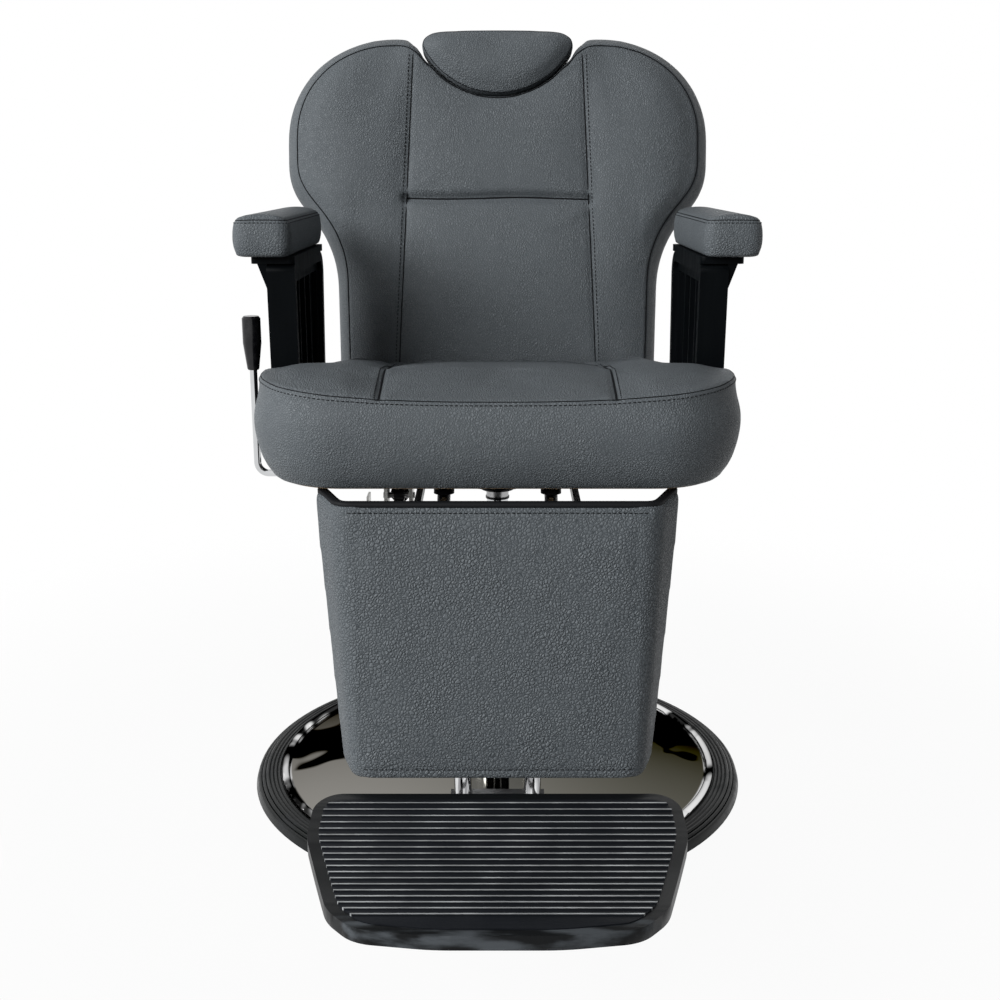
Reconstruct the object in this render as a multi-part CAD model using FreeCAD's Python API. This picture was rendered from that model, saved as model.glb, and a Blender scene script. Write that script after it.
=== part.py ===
import FreeCAD, Part
import math
import os

# Hydraulic barber chair, in millimetres.
# +Z is up and the sitter faces -Y. The origin is on the floor, on the column's axis.
# Soft parts are simple closed solids with their real crown, drawn-in sides and sewn channels.

V = FreeCAD.Vector

# General fits and fastener sizes
RUN_FIT = 0.05
SLIDE_GAP = 1.0
BOLT_R = 4.0
BOLT_HEAD_R = 7.0
BOLT_HEAD_H = 4.5
PIN_R = 4.0

# Round base: cast plate, chromed cover and ribbed rubber ring
BASE_R = 350.0
RING_WIDTH = 36.0
RING_HEIGHT = 20.0
RING_RIBS = 6
RING_RIB_H = 1.6
PLATE_THICK = 16.0
COVER_THICK = 2.0
COVER_HUB_Z = 50.0
RIM_BEAD_R = 5.5

# Hydraulic pump and its foot lever
CYLINDER_R = 42.0
CYLINDER_BORE_R = 30.0
CYLINDER_TOP = 366.0
FLANGE_R = 78.0
FLANGE_THICK = 12.0
SHROUD_R = 52.0
SHROUD_WALL = 2.0
CAP_THICK = 8.0
BUSH_LENGTH = 38.0
PUMP_BLOCK = (44.0, 62.0, 66.0)
LEVER_PIVOT_Z = 76.0
LEVER_LENGTH = 300.0
LEVER_WIDTH = 26.0
PEDAL_SIZE = (96.0, 78.0, 7.0)
PEDAL_RIBS = 6
PLUNGER_R = 6.0
PLUNGER_LENGTH = 44.0
PLUNGER_GAP = 0.5
PLUNGER_TIP_R = 2.0
PLUNGER_TIP_H = 1.2

# Ram, swivel and lift
RAM_R = 15.0
RAM_SHOULDER_Z = 413.0
SPIGOT_R = 12.0
SPIGOT_LENGTH = 62.0
WASHER_THICK = 3.0
HUB_R = 44.0
HUB_NECK_R = 23.0
HUB_NECK_H = 8.0
COLLAR_H = 10.0

# Seat underframe
FRAME_Z = 486.0
FRAME_THICK = 6.0
FRAME_FRONT = -243.0
FRAME_REAR = 198.0
FRAME_HALF = 150.0
RAIL_X = 62.0
RAIL_WIDTH = 18.0
RAIL_DEPTH = 36.0
RAIL_FRONT = -78.0
BOARD_THICK = 12.0
BOARD_INSET = 34.0

# Seat cushion
SEAT_HALF = 298.0
SEAT_NECK_HALF = SEAT_HALF - 55.0
SEAT_FRONT = -302.0
SEAT_STEP_Y = -142.0
SEAT_REAR = 147.0
SEAT_CORNER_R = 112.0
SEAT_SKIRT_Z = 493.0
SEAT_SEAM_Z = 602.0
SEAT_CREST_Z = 621.0
SEAT_CREST_Y = -172.0
SEAT_BACK_Z = 590.0
SEAT_CHANNEL_X = (147.0, 124.0)
SEAM_WIDTH = 3.0
SEAM_DEPTH = 2.5

# Arm frames and arm pads
ARM_INNER_X = SEAT_NECK_HALF + 7.0
ARM_WIDTH = 35.0
WING_PLATE_HALF = ARM_INNER_X + ARM_WIDTH + 1.0
ARM_FRONT = -134.0
ARM_REAR = 132.0
ARM_FLANGE_WIDTH = 54.0
ARM_FLANGE_THICK = 9.0
ARM_RIM = 13.0
ARM_RECESS = 7.0
ARM_RIBS = 3
PAD_WIDTH = 73.0
PAD_LENGTH = 312.0
PAD_FRONT = -164.0
PAD_UNDER_Z = 754.0
PAD_SEAM_Z = 799.0
PAD_CROWN = 8.0

# Backrest, in its own plane: depth runs to the rear, height runs up the back
BACK_LEAN = 10.0
BACK_FOOT_Y = 156.0
BACK_FOOT_Z = 545.0
BACK_HEIGHT = 511.0
BACK_WAIST_HALF = ARM_INNER_X - 13.0
BACK_HALF = BACK_WAIST_HALF + 77.0
BACK_SHOULDER_R = 145.0
BACK_WING_Z = BACK_HEIGHT * 0.583
BACK_WING_R = 90.0
BACK_WAIST_Z = BACK_HEIGHT * 0.421
BACK_WAIST_R = 160.0
CUSHION_DEPTH = 78.0
BACK_CROWN = 26.0
BACK_BOARD_THICK = 12.0
BACK_SHELL_THICK = 14.0
BACK_SEAM_Z = BACK_HEIGHT * 0.538
BACK_CHANNEL_X = (147.0, 122.0)
NOTCH_R = 126.0
NOTCH_DEPTH = 89.0

# Headrest
HEAD_GAP = 3.0
HEAD_RISE = 2.0
HEAD_FRONT = -24.0
HEAD_THICK = 76.0
HEAD_TIP_ANGLE = 62.0
POST_R = 6.0
POST_X = 48.0
POST_LENGTH = 225.0
GUIDE_R = 9.0
GUIDE_LENGTH = 120.0

# Recline hinge, leg rest hinge and the rods that couple them
SHAFT_R = 7.0
BACK_PIVOT_Y = 215.0
BACK_PIVOT_Z = 450.0
LEG_PIVOT_Y = -262.0
LEG_PIVOT_Z = 436.0
CRANK = 30.0
BRACKET_X = 165.0
BRACKET_THICK = 7.0
CRANK_X = 85.0
CRANK_THICK = 6.0
ROD_THICK = 8.0
ROD_DEPTH = 12.0
HINGE_ARM_X = 112.0
HINGE_ARM_WIDTH = 26.0
TORQUE_TUBE_R = 13.0
STRUT_X = 65.0
STRUT_R = 8.0
STRUT_INSET = 24.0
SOCKET_R = 12.5
SOCKET_H = 9.0

# Lockable gas spring and its release lever
SPRING_X = -135.0
SPRING_PIVOT_Y = -30.0
SPRING_PIVOT_Z = 424.0
SPRING_CRANK = 45.0
SPRING_BODY_R = 13.0
SPRING_BODY_LENGTH = 155.0
SPRING_ROD_R = 5.0
SPRING_ROD_LENGTH = 128.0
SPRING_MOUTH_R = 8.5
SPRING_TILT = -4.95
LOCK_PLATE_X = (-152.0, -118.0)
LOCK_PLATE_THICK = 5.0
LOCK_DEPTH = 82.0
TRAY_X = (-178.0, -106.0)
LEVER_Y = -20.0
LEVER_Z = 453.0
LEVER_ROD_R = 5.0
LEVER_X = -(SEAT_HALF + 31.0)
LEVER_BEND_R = 15.0
LEVER_TOP_Z = 668.0
GRIP_LENGTH = 72.0
GRIP_R = 12.4
GRIP_NECK_R = 8.0

# Leg rest
LEG_FRONT_Y = -297.0
LEG_TOP_Z = 478.0
LEG_HEIGHT = 325.0
LEG_LEAN = 7.0
LEG_PAD_THICK = 16.0
LEG_PAD_ROUND = 6.0
LEG_BOARD_THICK = 7.0
LEG_TOP_HALF = (189.0, 225.0)
LEG_FOOT_HALF = (172.0, 192.0)
LEG_WING_DEPTH = 62.0
LEG_FOLD_R = 30.0
TUBE_R = 11.0
TUBE_TOP_X = 50.0
TUBE_FOOT_X = 41.5
TUBE_TOP_Z = 350.0
TUBE_FOOT_Z = 102.0

# Footrest
FOOT_PIVOT_Y = -357.0
FOOT_PIVOT_Z = 119.0
FOOT_REAR = -360.0
FOOT_FRONT = -638.0
FOOT_HALF = 215.0
FOOT_REAR_HALF = 206.0
FOOT_NOSE_HALF = 173.0
FOOT_WIDEST_Y = -440.0
FOOT_REAR_Z = 144.0
FOOT_DISH_Z = 129.0
FOOT_FRONT_Z = 135.0
FOOT_THICK = 16.0
FOOT_SHEET = 5.0
FOOT_LIP = 9.0
FOOT_RIBS = 19
FOOT_RIB_PITCH = 12.0
FOOT_RIB_H = 2.0
FOOT_RIB_MARGIN = 13.0
MAT_THICK = 1.5


def box(x0, x1, y0, y1, z0, z1):
    return Part.makeBox(x1 - x0, y1 - y0, z1 - z0, V(x0, y0, z0))


def cylinder(radius, start, end):
    axis = end - start
    return Part.makeCylinder(radius, axis.Length, start, axis)


def cross_pin(radius, x0, x1, y, z):
    return cylinder(radius, V(x0, y, z), V(x1, y, z))


def tube(outer, inner, start, end):
    return cylinder(outer, start, end).cut(cylinder(inner, start, end))


def join(shapes):
    result = shapes[0].fuse(shapes[1:]) if len(shapes) > 1 else shapes[0]
    return result.removeSplitter()


def mirror_x(shape):
    return shape.mirror(V(0, 0, 0), V(1, 0, 0))


def group(shapes):
    return Part.makeCompound(shapes)


def spin(profile):
    """Turns a closed profile of (radius, z) points about the column's axis."""
    points = [V(r, 0, z) for r, z in profile]
    face = Part.Face(Part.makePolygon(points + points[:1]))
    return face.revolve(V(0, 0, 0), V(0, 0, 1), 360)


def offset_corners(corners, inset):
    """Moves a polygon's edges inwards. Corners are (u, v, radius), anticlockwise."""
    count = len(corners)
    moved = []
    for i in range(count):
        before, here, after = corners[i - 1], corners[i], corners[(i + 1) % count]
        ax, ay = here[0] - before[0], here[1] - before[1]
        bx, by = after[0] - here[0], after[1] - here[1]
        la, lb = math.hypot(ax, ay), math.hypot(bx, by)
        nax, nay, nbx, nby = -ay / la, ax / la, -by / lb, bx / lb
        turn = (ax * by - ay * bx) / (la * lb)
        scale = inset / (1 + nax * nbx + nay * nby)
        radius = max(here[2] - inset, 1.0) if turn > 0 else here[2]
        moved.append((here[0] + (nax + nbx) * scale, here[1] + (nay + nby) * scale, radius))
    return moved


def rounded_wire(corners, place):
    """Joins a polygon's edges by tangent arcs. place turns (u, v) into a point."""
    count = len(corners)
    stops = []
    for i in range(count):
        before, here, after = corners[i - 1], corners[i], corners[(i + 1) % count]
        ax, ay = before[0] - here[0], before[1] - here[1]
        bx, by = after[0] - here[0], after[1] - here[1]
        la, lb = math.hypot(ax, ay), math.hypot(bx, by)
        ax, ay, bx, by = ax / la, ay / la, bx / lb, by / lb
        half = math.acos(max(-1.0, min(1.0, ax * bx + ay * by))) / 2
        reach = here[2] / math.tan(half)
        mx, my = ax + bx, ay + by
        lm = math.hypot(mx, my)
        sag = here[2] / math.sin(half) - here[2]
        stops.append((
            (here[0] + ax * reach, here[1] + ay * reach),
            (here[0] + mx / lm * sag, here[1] + my / lm * sag),
            (here[0] + bx * reach, here[1] + by * reach),
        ))
    edges = []
    for i in range(count):
        start, middle, end = [place(*p) for p in stops[i]]
        edges.append(Part.Arc(start, middle, end).toShape())
        edges.append(Part.LineSegment(end, place(*stops[(i + 1) % count][0])).toShape())
    return Part.Wire(edges)


def mirrored_corners(right_side):
    """Completes an outline from its right-hand corners, listed from bottom to top."""
    return right_side + [(-u, v, r) for u, v, r in reversed(right_side)]


def padded_stack(corners, levels, place_at):
    """Lofts one outline through (level, inset) pairs, as a stuffed cover bulges."""
    wires = []
    for level, inset in levels:
        wires.append(rounded_wire(offset_corners(corners, inset), place_at(level)))
    return Part.makeLoft(wires, True, False)


def flat_stack(corners, levels, place_at):
    wires = []
    for level, inset in levels:
        wires.append(rounded_wire(offset_corners(corners, inset), place_at(level)))
    return Part.makeLoft(wires, True, True)


def at_height(z):
    return lambda u, v: V(u, v, z)


def plate(corners, z0, z1):
    wire = rounded_wire(corners, at_height(z0))
    return Part.Face(wire).extrude(V(0, 0, z1 - z0))


def side_plate(x0, x1, corners):
    """Cuts a rounded plate from sheet, standing on edge, from (y, z, radius) corners."""
    wire = rounded_wire(corners, lambda u, v: V(x0, u, v))
    return Part.Face(wire).extrude(V(x1 - x0, 0, 0))


def link_plate(x0, x1, start, end, width):
    """A flat bar with round ends, between two (y, z) pin centres."""
    dy, dz = end[0] - start[0], end[1] - start[1]
    length = math.hypot(dy, dz)
    bar = box(x0, x1, 0, length, -width / 2, width / 2)
    bar.rotate(V(0, 0, 0), V(1, 0, 0), math.degrees(math.atan2(dz, dy)))
    bar.translate(V(0, start[0], start[1]))
    ends = [cross_pin(width / 2, x0, x1, *point) for point in (start, end)]
    return join([bar] + ends)


# The backrest is drawn upright, with its foot at the origin, and then leaned back.
def lean_back(shape):
    shape = shape.copy()
    shape.rotate(V(0, 0, 0), V(1, 0, 0), -BACK_LEAN)
    shape.translate(V(0, BACK_FOOT_Y, BACK_FOOT_Z))
    return shape


def at_depth(depth):
    return lambda u, v: V(u, depth, v)


# Base

RING_INNER_R = BASE_R - RING_WIDTH
PLATE_R = RING_INNER_R - RUN_FIT
PLATE_TOP = PLATE_THICK
BEAD_CENTRE_R = RING_INNER_R - RIM_BEAD_R - RUN_FIT
COVER_HOLE_R = SHROUD_R + SLIDE_GAP


def base_ring():
    """Rubber ring with concentric ribs. It carries the whole chair."""
    outline = [(RING_INNER_R, 0), (BASE_R - 4, 0), (BASE_R, 4), (BASE_R - 2, RING_HEIGHT * 0.55)]
    pitch = (RING_WIDTH - 4) / RING_RIBS
    for i in range(RING_RIBS):
        outer = BASE_R - 3 - i * pitch
        top = RING_HEIGHT * (0.62 + 0.38 * min(1.0, (i + 1) / 3)) - RING_RIB_H
        outline.append((outer, top))
        outline.append((outer - pitch * 0.35, top + RING_RIB_H))
        outline.append((outer - pitch * 0.75, top + RING_RIB_H))
        outline.append((outer - pitch, top))
    outline.append((RING_INNER_R, RING_HEIGHT - RING_RIB_H))
    return spin(outline)


def base_plate():
    """Heavy cast plate. Its underside and the ring's share the floor."""
    solid = cylinder(PLATE_R, V(0, 0, 0), V(0, 0, PLATE_TOP))
    for x, y in flange_bolt_places():
        solid = solid.cut(cylinder(BOLT_R, V(x, y, 0), V(x, y, PLATE_TOP)))
    return solid


def cover_arc(radius, z_edge, z_hub, sag):
    """One side of the spun cover, from its rim to the hole round the column."""
    middle = V((radius + COVER_HOLE_R) / 2, 0, (z_edge + z_hub) / 2 + sag)
    return Part.Arc(V(radius, 0, z_edge), middle, V(COVER_HOLE_R, 0, z_hub))


def base_cover():
    """Chromed steel cover, spun to a shallow dome with a rolled rim."""
    rim = BEAD_CENTRE_R
    low = PLATE_TOP + 1
    outer = cover_arc(rim, low + COVER_THICK, COVER_HUB_Z, 6)
    inner = cover_arc(rim, low, COVER_HUB_Z - COVER_THICK, 6)
    hub_top = V(COVER_HOLE_R, 0, COVER_HUB_Z)
    edges = [
        outer.toShape(),
        Part.LineSegment(hub_top, hub_top - V(0, 0, COVER_THICK)).toShape(),
        inner.toShape(),
        Part.LineSegment(V(rim, 0, low), V(rim, 0, low + COVER_THICK)).toShape(),
    ]
    shell = Part.Face(Part.Wire(Part.__sortEdges__(edges))).revolve(V(0, 0, 0), V(0, 0, 1), 360)
    bead = Part.makeTorus(BEAD_CENTRE_R, RIM_BEAD_R, V(0, 0, PLATE_TOP + RIM_BEAD_R))
    half = PUMP_BLOCK[0] / 2 + SLIDE_GAP
    opening = box(-half, half, 0, BLOCK_Y + PUMP_BLOCK[1] + SLIDE_GAP, PLATE_TOP, COVER_HUB_Z + 5)
    return join([shell, bead]).cut(opening)


# Pump

FLANGE_TOP = PLATE_TOP + FLANGE_THICK
GLAND_TOP = CYLINDER_TOP + 8.0
SHROUD_BASE = PLATE_TOP + 70.0
BLOCK_Y = CYLINDER_R - 6.0
LEVER_PIVOT_Y = BLOCK_Y + PUMP_BLOCK[1] * 0.42
PLUNGER_Y = BLOCK_Y + PUMP_BLOCK[1] * 0.8


def flange_bolt_places():
    reach = FLANGE_R - 14
    return [(reach * math.cos(math.radians(a)), reach * math.sin(math.radians(a)))
            for a in (0, 130, 180, 230, 310, 50)]


def pump_cylinder():
    """Cast cylinder on its bolted flange, with two ears for the lever and the plunger's bore."""
    width, depth, _ = PUMP_BLOCK
    top = LEVER_PIVOT_Z + 10
    rear = BLOCK_Y + depth
    slot = LEVER_WIDTH / 2 + SLIDE_GAP
    block = box(-width / 2, width / 2, 0, rear, FLANGE_TOP - 1, top)
    body = join([
        cylinder(FLANGE_R, V(0, 0, PLATE_TOP), V(0, 0, FLANGE_TOP)),
        cylinder(CYLINDER_R, V(0, 0, PLATE_TOP), V(0, 0, CYLINDER_TOP)),
        block,
    ])
    body = body.cut(cylinder(CYLINDER_BORE_R, V(0, 0, FLANGE_TOP), V(0, 0, CYLINDER_TOP)))
    body = body.cut(box(-slot, slot, LEVER_PIVOT_Y - 14, rear + 1, LEVER_PIVOT_Z - 17, top + 1))
    body = body.cut(cross_pin(PIN_R, -width / 2, width / 2, LEVER_PIVOT_Y, LEVER_PIVOT_Z))
    body = body.cut(cylinder(PLUNGER_R + RUN_FIT, V(0, PLUNGER_Y, FLANGE_TOP + 2), V(0, PLUNGER_Y, top)))
    for x, y in flange_bolt_places():
        body = body.cut(cylinder(BOLT_R, V(x, y, PLATE_TOP), V(x, y, FLANGE_TOP)))
    return body


def flange_bolts():
    bolts = []
    for x, y in flange_bolt_places():
        shank = cylinder(BOLT_R - RUN_FIT, V(x, y, 1), V(x, y, FLANGE_TOP))
        head = cylinder(BOLT_HEAD_R, V(x, y, FLANGE_TOP), V(x, y, FLANGE_TOP + BOLT_HEAD_H))
        bolts.append(join([shank, head]))
    return group(bolts)


def pump_shroud():
    """Chromed tube over the cylinder, open at the bottom behind for the lever's block."""
    shroud = tube(SHROUD_R, SHROUD_R - SHROUD_WALL, V(0, 0, COVER_HUB_Z - 8), V(0, 0, CYLINDER_TOP + 2))
    half = PUMP_BLOCK[0] / 2 + SLIDE_GAP
    window = box(-half, half, 0, SHROUD_R + 1, COVER_HUB_Z - 8, SHROUD_BASE + 6)
    return shroud.cut(window)


def shroud_cap():
    cap = tube(SHROUD_R + 1, RAM_R + 4, V(0, 0, GLAND_TOP), V(0, 0, GLAND_TOP + CAP_THICK))
    skirt = tube(SHROUD_R + 1, SHROUD_R + RUN_FIT, V(0, 0, GLAND_TOP - 14), V(0, 0, GLAND_TOP))
    return join([cap, skirt])


def gland_bush():
    """Bush screwed into the cylinder's top. It guides the ram."""
    start, top = V(0, 0, CYLINDER_TOP - BUSH_LENGTH), V(0, 0, CYLINDER_TOP)
    sleeve = tube(CYLINDER_BORE_R, RAM_R + RUN_FIT, start, top)
    return join([sleeve, tube(CYLINDER_R, RAM_R + 4, top, V(0, 0, GLAND_TOP))])


def wiper_seal():
    return tube(RAM_R + 4, RAM_R + RUN_FIT, V(0, 0, CYLINDER_TOP), V(0, 0, GLAND_TOP + CAP_THICK))


def lever_pin():
    half = PUMP_BLOCK[0] / 2
    return cross_pin(PIN_R, -half, half, LEVER_PIVOT_Y, LEVER_PIVOT_Z)


PEDAL_Y = LEVER_PIVOT_Y + LEVER_LENGTH - PEDAL_SIZE[1] / 2


def pedal_corners(inset):
    width, depth, _ = PEDAL_SIZE
    right = [(width / 2, PEDAL_Y - depth / 2, 20), (width / 2, PEDAL_Y + depth / 2, 30)]
    return offset_corners(mirrored_corners(right), inset)


def pump_lever():
    """Forged foot lever: a flat nose at the pivot, a round arm and a pedal."""
    half = LEVER_WIDTH / 2
    low = LEVER_PIVOT_Z - 1
    ribs = []
    for i in range(PEDAL_RIBS):
        y = PEDAL_Y + (i - (PEDAL_RIBS - 1) / 2) * PEDAL_SIZE[1] / (PEDAL_RIBS + 1)
        ribs.append(box(-PEDAL_SIZE[0] / 2 + 14, PEDAL_SIZE[0] / 2 - 14, y - 2, y + 2,
                        low + PEDAL_SIZE[2], low + PEDAL_SIZE[2] + 1.5))
    lever = join(ribs + [
        cross_pin(11, -half, half, LEVER_PIVOT_Y, LEVER_PIVOT_Z),
        box(-half, half, LEVER_PIVOT_Y, PLUNGER_Y + 16, LEVER_PIVOT_Z - 8, LEVER_PIVOT_Z + 8),
        cylinder(8, V(0, PLUNGER_Y + 11, LEVER_PIVOT_Z - 2), V(0, PEDAL_Y, LEVER_PIVOT_Z - 2)),
        plate(pedal_corners(0), low, low + PEDAL_SIZE[2]),
    ])
    return lever.cut(cross_pin(PIN_R + RUN_FIT, -half, half, LEVER_PIVOT_Y, LEVER_PIVOT_Z))


def pump_plunger():
    """Small plunger with a tapered tip that the lever's nose pushes down to pump the oil."""
    top = LEVER_PIVOT_Z - 8 - PLUNGER_GAP
    shoulder = V(0, PLUNGER_Y, top - PLUNGER_TIP_H)
    body = cylinder(PLUNGER_R, V(0, PLUNGER_Y, top - PLUNGER_LENGTH * 0.6), shoulder)
    return join([body, Part.makeCone(PLUNGER_R, PLUNGER_TIP_R, PLUNGER_TIP_H, shoulder)])


# Ram and swivel

WASHER_TOP = RAM_SHOULDER_Z + WASHER_THICK
COLLAR_TOP = WASHER_TOP + COLLAR_H
SPIGOT_TOP = RAM_SHOULDER_Z + SPIGOT_LENGTH
RAM_FOOT_Z = FLANGE_TOP + 6


def ram():
    rod = cylinder(RAM_R, V(0, 0, RAM_FOOT_Z), V(0, 0, RAM_SHOULDER_Z))
    return join([rod, cylinder(SPIGOT_R, V(0, 0, RAM_SHOULDER_Z), V(0, 0, SPIGOT_TOP))])


def ram_piston():
    """Guide ring on the ram's foot. It slides in the cylinder's bore."""
    start, end = V(0, 0, RAM_FOOT_Z), V(0, 0, RAM_FOOT_Z + 22)
    return tube(CYLINDER_BORE_R - RUN_FIT, RAM_R, start, end)


def thrust_washer():
    return tube(RAM_R + 1.5, SPIGOT_R, V(0, 0, RAM_SHOULDER_Z), V(0, 0, WASHER_TOP))


def retaining_bolt():
    """Flanged bolt that keeps the hub on the ram."""
    flange_top = SPIGOT_TOP + 3
    return join([
        cylinder(SPIGOT_R + 8, V(0, 0, SPIGOT_TOP), V(0, 0, flange_top)),
        cylinder(BOLT_HEAD_R, V(0, 0, flange_top), V(0, 0, flange_top + BOLT_HEAD_H)),
    ])


def swivel_collar():
    return tube(RAM_R + 0.5, SPIGOT_R + RUN_FIT, V(0, 0, WASHER_TOP), V(0, 0, COLLAR_TOP))


def swivel_hub():
    """Welded hub under the seat. It turns on the ram's spigot."""
    neck_top = COLLAR_TOP + HUB_NECK_H
    hub = join([
        cylinder(HUB_NECK_R, V(0, 0, COLLAR_TOP), V(0, 0, neck_top)),
        cylinder(HUB_R, V(0, 0, neck_top), V(0, 0, FRAME_Z)),
    ])
    hub = hub.cut(cylinder(SPIGOT_R + RUN_FIT, V(0, 0, COLLAR_TOP), V(0, 0, FRAME_Z)))
    pocket_floor = V(0, 0, SPIGOT_TOP - 0.5)
    return hub.cut(cylinder(SPIGOT_R + 8 + SLIDE_GAP, pocket_floor, V(0, 0, FRAME_Z)))


# Seat underframe

FRAME_TOP = FRAME_Z + FRAME_THICK
RAIL_REAR = FRAME_REAR - 6


def underframe():
    """Welded steel frame: a deck plate, two rails, and ears for the arms."""
    deck = box(-FRAME_HALF, FRAME_HALF, FRAME_FRONT, FRAME_REAR, FRAME_Z, FRAME_TOP)
    ears = box(-WING_PLATE_HALF, WING_PLATE_HALF, ARM_FRONT + 12, ARM_REAR - 12, FRAME_Z, FRAME_TOP)
    parts = [deck, ears]
    for side in (-1, 1):
        x0 = side * (RAIL_X + RAIL_WIDTH / 2) - RAIL_WIDTH / 2
        low = FRAME_Z - RAIL_DEPTH
        parts.append(box(x0, x0 + RAIL_WIDTH, RAIL_FRONT, RAIL_REAR, low, FRAME_Z))
    frame = join(parts)
    lightening = cylinder(26, V(0, 118, FRAME_Z), V(0, 118, FRAME_TOP))
    frame = frame.cut(lightening)
    frame = frame.cut(cylinder(SPIGOT_R + 8 + SLIDE_GAP, V(0, 0, FRAME_Z), V(0, 0, FRAME_TOP)))
    for x, y in arm_bolt_places():
        frame = frame.cut(cylinder(BOLT_R, V(x, y, FRAME_Z), V(x, y, FRAME_TOP)))
    return frame


def seat_corners():
    return mirrored_corners([
        (SEAT_HALF, SEAT_FRONT, SEAT_CORNER_R),
        (SEAT_HALF, SEAT_STEP_Y, 14),
        (SEAT_NECK_HALF, SEAT_STEP_Y, 10),
        (SEAT_NECK_HALF, SEAT_REAR, 25),
    ])


def seat_board():
    return plate(offset_corners(seat_corners(), BOARD_INSET), FRAME_TOP, FRAME_TOP + BOARD_THICK)


def seat_crown(drop):
    """Everything under the seat's top line, which rises to a crest and dips behind it."""
    reach = SEAT_HALF + 40
    front, rear = SEAT_FRONT - 30, SEAT_REAR + 30
    mid_front = (SEAT_CREST_Y + front) / 2
    mid_rear = (SEAT_CREST_Y + rear) / 2
    start = V(-reach, front, SEAT_SEAM_Z - 12 - drop)
    crest = V(-reach, SEAT_CREST_Y, SEAT_CREST_Z - drop)
    back = V(-reach, rear, SEAT_BACK_Z - drop)
    rise = Part.Arc(start, V(-reach, mid_front, SEAT_CREST_Z - 7 - drop), crest)
    fall = Part.Arc(crest, V(-reach, mid_rear, (SEAT_CREST_Z + SEAT_BACK_Z) / 2 - 7 - drop), back)
    low_back, low_front = V(-reach, rear, SEAT_SKIRT_Z - 10), V(-reach, front, SEAT_SKIRT_Z - 10)
    edges = [
        rise.toShape(),
        fall.toShape(),
        Part.LineSegment(back, low_back).toShape(),
        Part.LineSegment(low_back, low_front).toShape(),
        Part.LineSegment(low_front, start).toShape(),
    ]
    return Part.Face(Part.Wire(edges)).extrude(V(2 * reach, 0, 0))


def seam_slab(x0, y0, x1, y1, z0, z1):
    """A thin upright slab along a seam, from one point of the plan to another."""
    length = math.hypot(x1 - x0, y1 - y0)
    slab = box(0, length, -SEAM_WIDTH / 2, SEAM_WIDTH / 2, z0, z1)
    slab.rotate(V(0, 0, 0), V(0, 0, 1), math.degrees(math.atan2(y1 - y0, x1 - x0)))
    slab.translate(V(x0, y0, 0))
    return slab


def seat_cushion():
    """Stuffed seat: full width in front of the arms and narrower between them."""
    height = SEAT_SEAM_Z - SEAT_SKIRT_Z
    levels = [
        (SEAT_SKIRT_Z, 27),
        (SEAT_SKIRT_Z + height * 0.04, 16),
        (SEAT_SKIRT_Z + height * 0.14, 6),
        (SEAT_SKIRT_Z + height * 0.5, 0),
        (SEAT_SKIRT_Z + height * 0.85, 3),
        (SEAT_SEAM_Z, 9),
        (SEAT_SEAM_Z + 14, 20),
        (SEAT_SEAM_Z + 24, 38),
    ]
    body = padded_stack(seat_corners(), levels, at_height)
    body = body.common(seat_crown(0))
    board = plate(offset_corners(seat_corners(), BOARD_INSET), SEAT_SKIRT_Z - 1, FRAME_TOP + BOARD_THICK)
    body = body.cut(board)
    inner = seat_crown(SEAM_DEPTH)
    rear_x, front_x = SEAT_CHANNEL_X
    for side in (-1, 1):
        slab = seam_slab(side * rear_x, SEAT_REAR + 5, side * front_x, SEAT_FRONT + 20,
                         SEAT_SEAM_Z - 20, SEAT_CREST_Z + 10)
        body = body.cut(slab.cut(inner))
    return body


# Arms

ARM_OUTER_X = ARM_INNER_X + ARM_WIDTH
ARM_TOP_Z = PAD_UNDER_Z - ARM_FLANGE_THICK


def arm_bolt_places():
    middle = ARM_INNER_X + ARM_WIDTH / 2
    return [(side * middle, y) for side in (-1, 1) for y in (ARM_FRONT + 40, ARM_REAR - 40)]


def arm_profile(inset, foot):
    """The arm's side view, leaning slightly outwards in front, as (y, z, radius) corners."""
    corners = [
        (ARM_FRONT + 4, foot, 6),
        (ARM_REAR - 22, foot, 6),
        (ARM_REAR, ARM_TOP_Z, 30),
        (ARM_FRONT - 6, ARM_TOP_Z, 10),
    ]
    return offset_corners(corners, inset)


def arm_frame():
    """Moulded right-hand arm: a solid post with a stepped, ribbed recess on its inner side."""
    blank = side_plate(ARM_INNER_X, ARM_OUTER_X, arm_profile(0, FRAME_TOP))
    recess = side_plate(ARM_INNER_X - 1, ARM_INNER_X + ARM_RECESS, arm_profile(ARM_RIM, FRAME_TOP))
    deep = side_plate(ARM_INNER_X, ARM_INNER_X + 2 * ARM_RECESS, arm_profile(2 * ARM_RIM, FRAME_TOP))
    arm = blank.cut(recess).cut(deep)
    span = ARM_REAR - ARM_FRONT - 4 * ARM_RIM - 22
    for i in range(ARM_RIBS):
        y = ARM_FRONT + 2 * ARM_RIM + span * (i + 1) / (ARM_RIBS + 1)
        rib = box(ARM_INNER_X + ARM_RECESS, ARM_INNER_X + 2 * ARM_RECESS + 1, y - 2.5, y + 2.5,
                  FRAME_TOP + ARM_RIM, ARM_TOP_Z - ARM_RIM)
        arm = arm.fuse(rib)
    flare = arm_flare()
    return join([arm, flare])


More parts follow.
